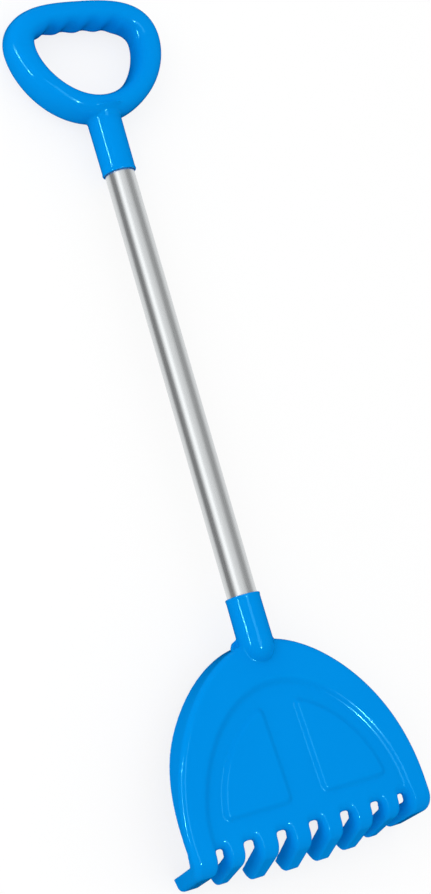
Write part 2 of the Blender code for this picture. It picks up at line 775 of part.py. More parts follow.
def make_head(collection, helpers):
    """The rake head: shell, tines and socket in one moulding."""
    head = make_head_block(helpers)
    cut_or_join(head, add_mesh("field_cutter", field_space(0.0), helpers), "DIFFERENCE")
    cut_or_join(head, make_back_cutter(helpers), "DIFFERENCE")
    for side in (-1, 1):
        cut_or_join(head, make_pad(side, helpers), "UNION")
    for index, (left, right) in enumerate(slot_edges()):
        cut_or_join(head, add_mesh(f"slot_{index + 1}", slot_space(left, right), helpers), "DIFFERENCE")
    for index, (left, right) in enumerate(tine_spans()):
        cut_or_join(head, tip_cutter(index, left, right, 0.0, helpers), "DIFFERENCE")
    settle_modifiers(head)
    cut_or_join(head, make_hollow(helpers), "DIFFERENCE")
    settle_modifiers(head)
    weld(head)
    bend_head(head)
    socket = add_mesh("head_socket", turned(socket_profile(HEAD_SOCKET_DEPTH + FIT_GAP, True)), helpers)
    cut_or_join(head, socket, "UNION")
    cut_or_join(head, make_collar(helpers), "UNION")
    place_screw_parts(head, -SCREW_STATION, helpers)
    bottom = -HEAD_SOCKET_DEPTH - FIT_GAP
    bore = turned([(SOCKET_BORE, bottom), (SOCKET_BORE, CUT_PAST)])
    cut_or_join(head, add_mesh("head_bore", bore, helpers), "DIFFERENCE")
    hole = round_post(SCREW_RADIUS + FIT_GAP, -2 * SOCKET_RADIUS, 0.0, -SCREW_STATION)
    cut_or_join(head, add_mesh("head_screw_hole", hole, helpers), "DIFFERENCE")
    settle_modifiers(head)
    helpers.objects.unlink(head)
    collection.objects.link(head)
    head.name = "rake_head"
    head.hide_render = False
    head.display_type = "TEXTURED"
    return head


def grip_centreline(steps):
    """Closed centreline of the grip's loop, as (X, distance from the socket's mouth).

    Its points stand closest at the fingers.
    """
    top, bottom = Vector((0, GRIP_TOP)), Vector((0, GRIP_BOTTOM))
    widest = Vector((GRIP_HALF_WIDTH, GRIP_WIDEST))
    top_handle, shoulder = Vector((GRIP_TOP_HANDLE, GRIP_TOP)), Vector((GRIP_HALF_WIDTH, GRIP_SHOULDER))
    cheek, chin_handle = Vector((GRIP_HALF_WIDTH, GRIP_CHEEK)), Vector((GRIP_CHIN_HANDLE, GRIP_BOTTOM))
    bar = interpolate_bezier(top, top_handle, shoulder, widest, 60)
    chin = interpolate_bezier(widest, cheek, chin_handle, bottom, 60)
    right = np.array([point[:2] for point in bar + chin[1:]])
    pieces = np.linalg.norm(np.diff(right, axis=0), axis=1)
    fingers = (right[1:, 1] > GRIP_WIDEST) & (right[1:, 0] < FINGER_PITCH * FINGERS / 2.0)
    length = np.concatenate([[0.0], np.cumsum(pieces * np.where(fingers, 2.0, 1.0))])
    places = np.linspace(0.0, length[-1], steps // 2 + 1)
    half = np.stack([np.interp(places, length, right[:, axis]) for axis in (0, 1)], axis=1)
    left = half[-2:0:-1] * np.array([-1.0, 1.0])
    return np.concatenate([half, left])


def section_sizes(height):
    """Half height and half depth of the grip's section at a distance from the socket's mouth."""
    stations = [GRIP_BOTTOM, GRIP_BOTTOM + 0.012, GRIP_WIDEST, GRIP_TOP - 0.004, GRIP_TOP]
    heights = [CHIN_HALF_HEIGHT, CHIN_HALF_HEIGHT, CHEEK_HALF_WIDTH, BAR_HALF_HEIGHT, BAR_HALF_HEIGHT]
    depths = [CHIN_HALF_DEPTH, CHIN_HALF_DEPTH, CHEEK_HALF_DEPTH, BAR_HALF_DEPTH, BAR_HALF_DEPTH]
    return np.interp(height, stations, heights), np.interp(height, stations, depths)


def finger_dent(x, height):
    """Depth of the finger grooves under the bar: one cosine wave to each finger."""
    if height < GRIP_WIDEST or abs(x) > FINGER_PITCH * FINGERS / 2.0:
        return 0.0
    wave = 0.5 - 0.5 * math.cos(2.0 * math.pi * (x / FINGER_PITCH + FINGERS / 2.0))
    return FINGER_DEPTH * wave


def make_loop(name, shrink, helpers, loop_steps, steps):
    """The grip's loop as a closed sweep of rounded sections, made smaller all round by shrink."""
    line = grip_centreline(loop_steps)
    count = len(line)
    middle = np.array([0.0, (GRIP_TOP + GRIP_BOTTOM) / 2.0])
    shape = bmesh.new()
    rings = []
    for index, place in enumerate(line):
        along = line[(index + 1) % count] - line[index - 1]
        along /= np.linalg.norm(along)
        outwards = np.array([along[1], -along[0]])
        if outwards.dot(place - middle) < 0.0:
            outwards = -outwards
        half_height, half_depth = section_sizes(place[1])
        ring = []
        for step in range(steps):
            angle = 2.0 * math.pi * step / steps
            rise = math.copysign(abs(math.cos(angle)) ** (2.0 / GRIP_SECTION_POWER), math.cos(angle))
            side = math.copysign(abs(math.sin(angle)) ** (2.0 / GRIP_SECTION_POWER), math.sin(angle))
            reach = rise * (half_height - shrink)
            if rise < 0.0:
                reach += finger_dent(place[0], place[1]) * rise * rise
            x, y = place + outwards * reach
            ring.append(shape.verts.new((x, SHAFT_SHOWN + y, side * (half_depth - shrink))))
        rings.append(ring)
    for index in range(count):
        near, far = rings[index], rings[(index + 1) % count]
        for step in range(steps):
            after = (step + 1) % steps
            shape.faces.new((near[step], near[after], far[after], far[step]))
    return add_mesh(name, shape, helpers)


def make_grip(collection, helpers):
    """The D grip: a hollow loop joined to its socket, open inside to the socket's bore."""
    grip = make_loop("grip", 0.0, collection, LOOP_STEPS, SECTION_STEPS)
    neck_end = GRIP_BOTTOM - CHIN_HALF_HEIGHT
    outside = socket_profile(neck_end + NECK_FLARE, False, NECK_FLARE)
    neck = turned([(radius, SHAFT_SHOWN - station) for radius, station in outside])
    cut_or_join(grip, add_mesh("grip_neck", neck, helpers), "UNION")
    place_screw_parts(grip, SHAFT_SHOWN + SCREW_STATION, helpers)
    cavity = make_loop("grip_cavity", GRIP_WALL, helpers, CAVITY_LOOP_STEPS, CAVITY_SECTION_STEPS)
    cut_or_join(grip, cavity, "DIFFERENCE")
    stop = SHAFT_SHOWN + GRIP_SOCKET_DEPTH + FIT_GAP
    middle = SHAFT_SHOWN + GRIP_BOTTOM
    wide = [(SOCKET_BORE, SHAFT_SHOWN - CUT_PAST), (SOCKET_BORE, stop)]
    bore = turned(wide + [(VENT_RADIUS, stop), (VENT_RADIUS, middle)])
    cut_or_join(grip, add_mesh("grip_bore", bore, helpers), "DIFFERENCE")
    hole = round_post(SCREW_RADIUS + FIT_GAP, -2 * SOCKET_RADIUS, 0.0, SHAFT_SHOWN + SCREW_STATION)
    cut_or_join(grip, add_mesh("grip_screw_hole", hole, helpers), "DIFFERENCE")
    return grip


def corners_of(parts):
    return np.array([vert.co[:] for part in parts for vert in part.data.vertices])


def lay_down(parts, grip, head):
    """Leans the rake about X until grip and tines both touch the ground, then sets it at the origin."""
    lean = 0.0
    for _ in range(20):
        lowest = []
        for part in (grip, head):
            points = corners_of([part])
            heights = points[:, 2] * math.cos(lean) + points[:, 1] * math.sin(lean)
            lowest.append((heights.min(), points[heights.argmin(), 1]))
        (grip_low, grip_y), (head_low, head_y) = lowest
        lean -= (grip_low - head_low) / (grip_y - head_y)
    stand = bpy.data.objects.new("ground_frame", None)
    bpy.context.scene.collection.objects.link(stand)
    stand.rotation_euler = (lean, 0.0, 0.0)
    points = corners_of(parts)
    along = points[:, 1] * math.cos(lean) - points[:, 2] * math.sin(lean)
    heights = points[:, 2] * math.cos(lean) + points[:, 1] * math.sin(lean)
    stand.location = (0.0, -(along.min() + along.max()) / 2.0, -heights.min())
    for part in parts:
        part.parent = stand
    bpy.context.view_layer.update()
    place = stand.location
    print(f"lean {math.degrees(lean):.3f} degrees, frame at {place.y:.5f} {place.z:.5f}")


def main():
    clear_scene()
    rake = new_collection("rake")
    helpers = new_collection("cutters", helper=True)
    blue_grip = new_material("grip_plastic", (0.0, 0.27, 0.80), 0.24)
    blue_head = new_material("head_plastic", (0.0, 0.27, 0.80), 0.24)
    aluminium = new_material("tube_aluminium", (0.78, 0.79, 0.80), 0.30, 1.0)
    steel = new_material("screw_steel", (0.60, 0.60, 0.61), 0.35, 1.0)
    shaft = make_shaft(rake, helpers)
    head = make_head(rake, helpers)
    grip = make_grip(rake, helpers)
    head_screw = make_screw("head_screw", -SCREW_STATION, rake)
    grip_screw = make_screw("grip_screw", SHAFT_SHOWN + SCREW_STATION, rake)
    finish_surface(shaft, aluminium)
    finish_surface(head, blue_head)
    finish_surface(grip, blue_grip)
    finish_surface(head_screw, steel)
    finish_surface(grip_screw, steel)
    lay_down([shaft, head, grip, head_screw, grip_screw], grip, head)
    for part in (shaft, head, grip):
        print(part.name, len(part.data.polygons), "faces")


main()
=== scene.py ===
"""Looks of the child's sand rake: glossy blue moulded grip and head, aluminium tube, steel screws.

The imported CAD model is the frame. Every visible piece stands for one of its nodes and has that
node's form and place, drawn again far finer: the two mouldings with softened edges, the tube
with its wall and chamfers, the screws with their drives. All of it is drawn in the shaft's own
frame, with Y up the shaft from the mouth of the head's socket, and then set on the CAD model.
"""

import json
import math

import bmesh
import bpy
import numpy as np
from mathutils import Matrix, Vector
from mathutils.geometry import interpolate_bezier

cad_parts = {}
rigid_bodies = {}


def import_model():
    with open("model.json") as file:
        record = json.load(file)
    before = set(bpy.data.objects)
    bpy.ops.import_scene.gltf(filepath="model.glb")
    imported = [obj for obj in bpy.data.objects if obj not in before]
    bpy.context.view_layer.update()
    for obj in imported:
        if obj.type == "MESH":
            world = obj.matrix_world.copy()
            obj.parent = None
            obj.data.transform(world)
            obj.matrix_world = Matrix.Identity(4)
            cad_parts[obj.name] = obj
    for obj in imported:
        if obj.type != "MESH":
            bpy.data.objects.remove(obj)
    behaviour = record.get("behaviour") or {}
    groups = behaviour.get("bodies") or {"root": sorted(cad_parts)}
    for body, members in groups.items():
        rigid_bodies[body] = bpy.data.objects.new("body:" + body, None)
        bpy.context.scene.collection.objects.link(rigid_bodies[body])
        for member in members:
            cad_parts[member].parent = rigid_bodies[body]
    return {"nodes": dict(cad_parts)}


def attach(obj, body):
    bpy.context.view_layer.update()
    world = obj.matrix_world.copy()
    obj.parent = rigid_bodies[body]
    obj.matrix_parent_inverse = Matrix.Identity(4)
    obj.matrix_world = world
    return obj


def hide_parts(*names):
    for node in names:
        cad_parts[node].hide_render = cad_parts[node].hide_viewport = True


# Camera, in the shaft's own frame
CAMERA_PLACE = Vector((-0.7713, -0.1254, 1.3122))
CAMERA_AHEAD = Vector((0.50726, 0.15162, -0.84835))
CAMERA_UP = Vector((0.16539, 0.94897, 0.2685))
SENSOR = 24.0
LENS = 57.63

# Mouldings: grid on which their surface is evened out, and rounds of softening
GRIP_GRID = 0.00050
HEAD_GRID = 0.00045
SOFTENING = 9
FILLET_SOFTENING = 24
SOFTENING_STRENGTH = 0.5

# Root of the head's socket: distance off dome and plate with a full fillet and with none, and its room
ROOT_FULL = 0.0015
ROOT_NONE = 0.0040
ROOT_TOP = 0.0300
ROOT_FOOT = 0.0620
ROOT_SIDE = 0.0220

# Notch above each outermost tine: its spot, and the distance from it with a full fillet and with none
NOTCH_SPOT = (0.0985, -0.1705)
NOTCH_FULL = 0.0030
NOTCH_NONE = 0.0080

# Tube and screws: chamfer, and cross drive as shares of the screw's head
CHAMFER = 0.0002
CHAMFER_STEPS = 2
CHAMFER_FROM = 40
SHARP_FROM = 35
DRIVE_LENGTH = 0.62
DRIVE_WIDTH = 0.16
DRIVE_DEPTH = 0.75
CROWN_RIM = 0.25
POINT_START = 0.75
SCREW_EDGE = 0.0001

# Softboxes in the shaft's frame: place, target, size and power. GLOSS_LAMPS show in the plastic's gloss
# and light nothing else, and MATT_LAMP is soft light that shows in no gloss.
GLOSS_LAMPS = {
    "strip": ((-1.178, 0.43, 0.549), (0.0, 0.43, 0.0), (0.022, 0.86), 11.0),
    "spot": ((-0.03, -0.5, 1.35), (0.0, 0.0, 0.0), (0.10, 0.09), 5.0),
    "overhead": ((-0.05, -0.1, 1.5), (-0.05, -0.1, 0.0), (0.45, 1.25), 4.6),
}
MATT_LAMP = ((-1.2, 0.6, 1.1), (0.0, 0.0, 0.0), (1.2, 1.2), 7.0)

# Studio: light of the room, and what metal mirrors of it by angle about the shaft, from the top to +X
FLOOR_SIZE = 6.0
FLOOR_DROP = 0.0005
FLOOR_GLOW = 0.80
AMBIENT = 0.91
GLOSS_LEVEL = 0.03
ROOM_RADIUS = 4.0
ROOM_LENGTH = 24.0
ROOM = [
    (-180, 0.86), (-150, 0.80), (-130, 0.70), (-116, 0.20), (-84, 0.20), (-66, 0.80),
    (-56, 1.25), (-42, 1.25), (-32, 0.84), (-8, 0.74), (10, 0.64), (24, 0.34), (54, 0.32),
    (68, 0.50), (84, 0.75), (120, 0.82), (180, 0.86),
]

# Shaft
SHAFT_RADIUS = 0.0110
SHAFT_WALL = 0.0010
SHAFT_SHOWN = 0.3224
FIT_GAP = 0.0003

# Sockets of the grip and of the head
SOCKET_WALL = 0.0012
SOCKET_DRAFT = 0.0003
LIP_PROUD = 0.0003
LIP_HEIGHT = 0.0022
LIP_ROUND = 0.0004
LIP_STEP = 0.0005
GRIP_SOCKET_DEPTH = 0.0380
HEAD_SOCKET_DEPTH = 0.0358
DOME_LENGTH = 0.0145
DOME_STEPS = 7

# Grip loop: centreline and section half sizes, measured from the mouth of its socket
GRIP_TOP = 0.1248
GRIP_BOTTOM = 0.0508
GRIP_HALF_WIDTH = 0.0523
GRIP_WIDEST = 0.1015
GRIP_TOP_HANDLE = 0.0240
GRIP_SHOULDER = 0.1242
GRIP_CHEEK = 0.0798
GRIP_CHIN_HANDLE = 0.0312
GRIP_SECTION_POWER = 2.4
BAR_HALF_HEIGHT = 0.0102
CHEEK_HALF_WIDTH = 0.0112
CHIN_HALF_HEIGHT = 0.0093
BAR_HALF_DEPTH = 0.0142
CHEEK_HALF_DEPTH = 0.0120
CHIN_HALF_DEPTH = 0.0155
CHIN_RUN = 0.0120
BAR_RUN = 0.0040
GRIP_WALL = 0.0020
FINGER_PITCH = 0.0180
FINGER_DEPTH = 0.0021
FINGERS = 4
NECK_FLARE = 0.0060
VENT_RADIUS = 0.0065

# Head: outline of the arch, measured along the shaft from the socket's mouth
HEAD_WALL = 0.0022
ARCH_TOP = 0.0326
ARCH_HANDLE = 0.0482
HEAD_HALF_WIDTH = 0.0997
ARCH_SHOULDER = 0.0921
ARCH_FOOT = 0.1570
RIM_ROUND = 0.0045
PLATE_AT_NECK = 0.0035
PLATE_LEAN = 0.0855
NECK_STATION = 0.0330
PLATE_BOW = 0.35
BOW_START = 0.0600
BOW_END = 0.1600

# Flange behind the plate: deepest beside the socket, waisted above the tines
FLANGE_DEPTH = 0.0225
FLANGE_WAIST_DEPTH = 0.0085
FLANGE_TOE_DEPTH = 0.0115
BACK_TRIM = 0.0010
FLANGE_TAPER_START = 0.0820
FLANGE_TAPER_END = 0.1620

# Widening of the head's socket where it runs into the flange
COLLAR_RISE = 0.0042
COLLAR_FLARE = 0.0060
COLLAR_DROP = 0.0052
COLLAR_FRONT = 0.0040
COLLAR_BACK = 0.0190
COLLAR_SHOULDER = (0.25, 0.45)

# Recessed field: its arch at half height of the soft step that leads down to it
BAND_WIDTH = 0.0182
FIELD_TOP = 0.0645
FIELD_HANDLE = 0.0490
FIELD_HALF_WIDTH = HEAD_HALF_WIDTH - BAND_WIDTH
FIELD_SHOULDER = 0.1220
FIELD_DEPTH = 0.0025
STEP_WIDTH = 0.0066

# Two raised pads in the field, and how far inside them their relief behind the plate ends
PAD_MARGIN = 0.0143
PAD_TOP = 0.0771
PAD_HANDLE = 0.0270
PAD_HALF_WIDTH = FIELD_HALF_WIDTH - PAD_MARGIN
PAD_SHOULDER = 0.1096
PAD_INNER = 0.0140
PAD_FOOT = 0.1475
PAD_HEIGHT = 0.0020
PAD_SLOPE = 0.0050
RELIEF_INSET = 0.0018
PAD_CORNER = 0.0050
PAD_CORNER_GAP = 0.0005

# Slots between the tines: seven, with round ends and softly rounded front edges
SLOTS = 7
CORNER_SPARE = 0.0063
SLOT_PITCH = (HEAD_HALF_WIDTH - CORNER_SPARE) * 2.0 / SLOTS
SLOT_WIDTH = 0.0100
OUTER_SLOT_SHIFT = 0.0033
OUTER_SLOT_WIDTH = 0.0078
SLOT_END = 0.1643
SLOT_END_LENGTH = 0.0045
SLOT_END_POWER = 3.0
FLARE_SIDE = 0.0036
FLARE_END = 0.0080
FLARE_DEPTH = 0.0050
FLARE_PAST = 1.3

# Tines: hooked back from the blank, square channels open behind
HOOK_START = 0.1677
HOOK_LENGTH = 0.0115
HOOK_INNER = 0.0030
TINE_REACH = 0.0332
TINE_REACH_RISE = 0.95
CORNER_REACH = 0.0377
TINE_LEG_BACK = 0.0123
TINE_THICKNESS = 0.0120
TINE_THICKNESS_FALL = 50.0
CORNER_ROOT_THICKNESS = 0.0106
CORNER_THICKNESS = 0.0108
TINE_DIP = 26.5
TINE_DIP_FALL = 2150.0
TINE_TAPER = 0.033
TIP_RAKE = 0.0030
TIP_ROUND = 0.0035
TIP_RUN_OUT = (0.0030, 0.0060)
SQUEEZE_START = SLOT_END + 0.0007
BLANK_END = HOOK_START + HOOK_LENGTH + CORNER_REACH * 1.2

# Small measures: the ends of the CAD tube that give its axis, gaps, and how far tools pass what they cut
TUBE_END = 0.0020
HAIR = 0.00002
WELD = 0.000005
SAME_LEVEL = 1e-9
SHARPEST_MITRE = 0.35
CUT_PAST = 0.0100

# Fixing screws on the back of the sockets
SCREW_RADIUS = 0.00145
SCREW_LENGTH = 0.0085
SCREW_HEAD_RADIUS = 0.0028
SCREW_HEAD_HEIGHT = 0.0017
SCREW_BOSS_RADIUS = 0.0040
SCREW_BOSS_PROUD = 0.0009
SCREW_STATION = 0.0160

# Fineness of the visible pieces
ROUND_STEPS = 120
ARCH_STEPS = 61
FILLET_STEPS = 8
LOOP_STEPS = 260
SECTION_STEPS = 72
STEP_STEPS = 10
SLOT_STEPS = 24
FLARE_STEPS = 6
HOOK_STEPS = 18
LINING_STEPS = 3
CAVITY_LOOP_STEPS = 90
CAVITY_SECTION_STEPS = 24
BAND_SPACING = 0.0080
BOW_BANDS = 4
TAPER_STEPS = 10
POST_STEPS = 24
SCREW_STEPS = 48
CROWN_STEPS = 8
CURVE_STEPS = 60
FINGER_CROWDING = 2.0
ROOM_SIDES = 96

SOCKET_BORE = SHAFT_RADIUS + FIT_GAP
SOCKET_RADIUS = SOCKET_BORE + SOCKET_WALL


def new_object(name, shape, collection):
    """Turns a bmesh into an object of a collection."""
    mesh = bpy.data.meshes.new(name)
    shape.to_mesh(mesh)
    shape.free()
    made = bpy.data.objects.new(name, mesh)
    collection.objects.link(made)
    return made


def add_mesh(name, shape):
    """Turns a bmesh into an object on the bench, with its faces pointing out."""
    bmesh.ops.recalc_face_normals(shape, faces=shape.faces)
    return new_object(name, shape, bench)


def cut_with(body, tool, operation="DIFFERENCE"):
    """Puts an exact Boolean with one tool on the body."""
    step = body.modifiers.new(tool.name, "BOOLEAN")
    step.operation = operation
    step.object = tool
    step.solver = "EXACT"


def cut(body, name, shape, operation="DIFFERENCE"):
    """The same with a tool made of a bmesh."""
    cut_with(body, add_mesh(name, shape), operation)


def settle_modifiers(body):
    """Makes the modifiers' result the body's own mesh."""
    bpy.context.view_layer.update()
    seen = body.evaluated_get(bpy.context.evaluated_depsgraph_get())
    mesh = bpy.data.meshes.new_from_object(seen)
    body.modifiers.clear()
    body.data = mesh


def weld(body):
    """Joins the points that the Booleans left a hair apart."""
    shape = bmesh.new()
    shape.from_mesh(body.data)
    bmesh.ops.remove_doubles(shape, verts=shape.verts, dist=WELD)
    shape.to_mesh(body.data)
    shape.free()


def smooth_step(value, start, end):
    share = min(max((value - start) / (end - start), 0.0), 1.0)
    return share * share * (3.0 - 2.0 * share)


def fillet(corners, radii):
    """Rounds the corners of a closed outline, each with its own radius."""
    outline = []
    count = len(corners)
    for index, radius in enumerate(radii):
        here = Vector(corners[index])
        before = (Vector(corners[index - 1]) - here).normalized()
        after = (Vector(corners[(index + 1) % count]) - here).normalized()
        if radius <= 0.0:
            outline.append(here)
            continue
        half = before.angle(after) / 2.0
        reach = radius / math.tan(half)
        centre = here + (before + after).normalized() * radius / math.sin(half)
        first = here + before * reach - centre
        last = here + after * reach - centre
        sweep = first.angle(last)
        for step in range(FILLET_STEPS + 1):
            share = step / FILLET_STEPS
            towards = first * math.sin((1 - share) * sweep) + last * math.sin(share * sweep)
            outline.append(centre + towards / math.sin(sweep))
    return outline


def arch_half(top, handle, half_width, shoulder, foot, inset=0.0):
    """Right half of an arch outline, from its crown down its side, moved inwards by inset."""
    crown, pull = Vector((0, -top)), Vector((handle, -top))
    push, side = Vector((half_width, -shoulder)), Vector((half_width, -ARCH_FOOT))
    curve = interpolate_bezier(crown, pull, push, side, ARCH_STEPS)
    points = []
    for index, point in enumerate(curve):
        ahead = curve[min(index + 1, ARCH_STEPS - 1)]
        behind = curve[max(index - 1, 0)]
        along = (ahead - behind).normalized()
        if index == 0:
            along = Vector((1.0, 0.0))
        if index == ARCH_STEPS - 1:
            along = Vector((0.0, -1.0))
        inwards = Vector((along.y, -along.x))
        points.append(point + inwards * inset)
    points[0].x = 0.0
    points.append(Vector((half_width - inset, -foot)))
    return points


def arch_outline(top, handle, half_width, shoulder, foot, inset=0.0):
    right = arch_half(top, handle, half_width, shoulder, foot, inset)
    left = [Vector((-point.x, point.y)) for point in reversed(right[1:])]
    return right + left


def prism(outline, low, high):
    """Solid between two heights over an outline in X and Y."""
    return stack([[(point.x, point.y, level) for point in outline] for level in (low, high)])


def spread_outline(outline, distance):
    """Moves each point of a closed outline outwards by one distance."""
    if distance == 0.0:
        return outline
    count = len(outline)
    area = sum(outline[index - 1].cross(outline[index]) for index in range(count))
    turn = 1.0 if area > 0.0 else -1.0
    moved = []
    for index, point in enumerate(outline):
        first = (point - outline[index - 1]).normalized()
        second = (outline[(index + 1) % count] - point).normalized()
        out_first = Vector((first.y, -first.x)) * turn
        out_second = Vector((second.y, -second.x)) * turn
        mean = (out_first + out_second).normalized()
        moved.append(point + mean * distance / max(mean.dot(out_first), SHARPEST_MITRE))
    return moved


def cross_prism(profile, left, right):
    """Solid across the head from a side profile of (Z, Y) points."""
    return stack([[(side, point[1], point[0]) for point in profile] for side in (left, right)])


def ring_about_y(shape, radius, station, steps):
    ring = []
    for step in range(steps):
        angle = 2.0 * math.pi * step / steps
        ring.append(shape.verts.new((radius * math.sin(angle), station, radius * math.cos(angle))))
    return ring


def side_faces(shape, near, far):
    """Closes the side between two rings of as many points."""
    for index in range(len(near)):
        after = (index + 1) % len(near)
        shape.faces.new((near[index], near[after], far[after], far[index]))


def turned(profile, steps=ROUND_STEPS):
    """Solid of revolution about Y from (radius, Y) points. Ends off the axis are closed flat."""
    shape = bmesh.new()
    rings = []
    for radius, station in profile:
        if radius == 0.0:
            rings.append([shape.verts.new((0.0, station, 0.0))])
        else:
            rings.append(ring_about_y(shape, radius, station, steps))
    for lower, upper in zip(rings, rings[1:]):
        for step in range(steps):
            after = (step + 1) % steps
            corners = [lower[step % len(lower)], lower[after % len(lower)]]
            corners += [upper[after % len(upper)], upper[step % len(upper)]]
            shape.faces.new(list(dict.fromkeys(corners)))
    for end in (rings[0], rings[-1]):
        if len(end) > 1:
            shape.faces.new(end)
    return shape


def turned_tube(inner, outer, low, high):
    """Plain tube about Y."""
    shape = bmesh.new()
    corners = ((outer, low), (outer, high), (inner, high), (inner, low))
    rings = [ring_about_y(shape, radius, station, ROUND_STEPS) for radius, station in corners]
    for index, near in enumerate(rings):
        side_faces(shape, near, rings[(index + 1) % len(rings)])
    return shape


def bevel_marked(body, radius, segments=FILLET_STEPS):
    """Rounds the edges that carry a bevel weight."""
    rounding = body.modifiers.new("rounding", "BEVEL")
    rounding.limit_method = "WEIGHT"
    rounding.width = radius
    rounding.segments = segments
    rounding.use_clamp_overlap = False
    settle_modifiers(body)


def lies_at(edge, axis, value):
    """Whether an edge lies at one value of Y (axis 1) or Z (axis 2)."""
    return all(abs(vert.co[axis] - value) < SAME_LEVEL for vert in edge.verts)


def mark_edges(shape, choose):
    """Marks the edges that choose picks for the bevel."""
    weight = shape.edges.layers.float.new("bevel_weight_edge")
    for edge in shape.edges:
        edge[weight] = float(choose(edge))


def slot_edges():
    """(left, right) of each slot, from the left side of the head to the right."""
    slots = []
    outermost = (SLOTS - 1) // 2
    for place in range(-outermost, outermost + 1):
        outer = abs(place) == outermost
        centre = place * SLOT_PITCH - math.copysign(OUTER_SLOT_SHIFT, place) * outer
        half = (OUTER_SLOT_WIDTH if outer else SLOT_WIDTH) / 2.0
        slots.append((centre - half, centre + half))
    return slots


def tine_spans():
    """(left, right) of each tine, in the same order."""
    slots = slot_edges()
    inner = [(slots[i][1], slots[i + 1][0]) for i in range(SLOTS - 1)]
    return [(-HEAD_HALF_WIDTH, slots[0][0])] + inner + [(slots[-1][1], HEAD_HALF_WIDTH)]


def stack(rings):
    """Solid through a pile of closed outlines, each with the same number of points."""
    shape = bmesh.new()
    loops = [[shape.verts.new(point) for point in ring] for ring in rings]
    shape.faces.new(loops[0])
    shape.faces.new(loops[-1])
    for near, far in zip(loops, loops[1:]):
        side_faces(shape, near, far)
    return shape


def front_level(x):
    """Height of the front at the toe: field in the middle, band at the sides, step between."""
    inner = FIELD_HALF_WIDTH - STEP_WIDTH / 2.0
    return FIELD_DEPTH * (smooth_step(abs(x), inner, inner + STEP_WIDTH) - 1.0)


def make_head_block():
    """The arched plate, flange and straight tines as one solid block with a rounded front edge."""
    outline = arch_outline(ARCH_TOP, ARCH_HANDLE, HEAD_HALF_WIDTH, ARCH_SHOULDER, BLANK_END)
    shape = prism(outline, -FLANGE_DEPTH - BACK_TRIM, 0.0)
    mark_edges(shape, lambda edge: lies_at(edge, 2, 0.0) and not lies_at(edge, 1, -BLANK_END))
    block = add_mesh("head_block", shape)
    bevel_marked(block, RIM_ROUND)
    return block


def field_space(sink, steps=STEP_STEPS):
    """The space over the recessed field, with a soft S-shaped step all round, open at the toe."""
    foot = BLANK_END + CUT_PAST
    rings = []
    for step in range(steps + 2):
        share = step / steps
        spread = STEP_WIDTH * (share - 0.5)
        level = FIELD_DEPTH * (smooth_step(share, 0.0, 1.0) - 1.0) + HAIR * share
        if step > steps:
            level = FIELD_DEPTH
        outline = arch_outline(FIELD_TOP, FIELD_HANDLE, FIELD_HALF_WIDTH, FIELD_SHOULDER, foot, -spread)
        rings.append([(point.x, point.y, level - sink) for point in outline])
    return stack(rings)


def pad_outline(side):
    """Outline of one raised pad at half height: straight inner and lower edges, curved outer edge."""
    curve = arch_half(PAD_TOP, PAD_HANDLE, PAD_HALF_WIDTH, PAD_SHOULDER, PAD_FOOT)[:-1]
    peak = cross_at(curve, 0, PAD_INNER)
    outer = cross_at(curve, 1, -PAD_FOOT)
    low = Vector((PAD_INNER, -PAD_FOOT))
    ahead = cross_at(curve, 0, PAD_INNER + PAD_CORNER)
    above = cross_at(curve, 1, -PAD_FOOT + PAD_CORNER)
    side_from, foot_from = ahead.x + PAD_CORNER_GAP, above.y + PAD_CORNER_GAP
    kept = [point for point in curve if point.x > side_from and point.y > foot_from]
    points = bend(peak - Vector((0, PAD_CORNER)), peak, ahead) + kept[::2]
    points += bend(above, outer, outer - Vector((PAD_CORNER, 0)))
    points += bend(low + Vector((PAD_CORNER, 0)), low, low + Vector((0, PAD_CORNER)))
    return [Vector((point.x * side, point.y)) for point in points]


def cross_at(curve, axis, value):
    """Where a curve first passes a value of X (axis 0) or Y (axis 1)."""
    for first, second in zip(curve, curve[1:]):
        if (first[axis] - value) * (second[axis] - value) <= 0.0:
            return first.lerp(second, (value - first[axis]) / (second[axis] - first[axis]))
    return curve[-1]


def bend(start, corner, end):
    """Rounded way from start to end that leans on a corner."""
    points = []
    for step in range(FILLET_STEPS + 1):
        share = step / FILLET_STEPS
        points.append(start * (1 - share) ** 2 + corner * 2 * share * (1 - share) + end * share ** 2)
    return points


def make_pad(side):
    """A raised pad, solid, with soft sides, rooted in the plate."""
    middle = pad_outline(side)
    root = spread_outline(middle, PAD_SLOPE / 2.0)
    rings = [[(point.x, point.y, -FIELD_DEPTH - HEAD_WALL / 2.0) for point in root]]
    for step in range(STEP_STEPS):
        share = step / (STEP_STEPS - 1)
        level = -FIELD_DEPTH - HAIR + (PAD_HEIGHT + HAIR) * smooth_step(share, 0.0, 1.0)
        outline = spread_outline(middle, PAD_SLOPE * (0.5 - share))
        rings.append([(point.x, point.y, level) for point in outline])
    return add_mesh(f"pad_{'right' if side > 0 else 'left'}", stack(rings))


def slot_ring(left, right, side, end, depth, steps):
    """Outline of a slot at one depth under the front, widened at its sides and at its round end."""
    centre = (left + right) / 2.0
    half = (right - left) / 2.0 + side
    base = -SLOT_END - SLOT_END_LENGTH
    points = [(centre + half, -BLANK_END - CUT_PAST)]
    for step in range(steps + 1):
        angle = math.pi * step / steps
        across = math.copysign(abs(math.cos(angle)) ** (2.0 / SLOT_END_POWER), math.cos(angle))
        along = abs(math.sin(angle)) ** (2.0 / SLOT_END_POWER)
        points.append((centre + half * across, base + (SLOT_END_LENGTH + end) * along))
    points.append((centre - half, -BLANK_END - CUT_PAST))
    return [(x, y, front_level(x) - depth) for x, y in points]


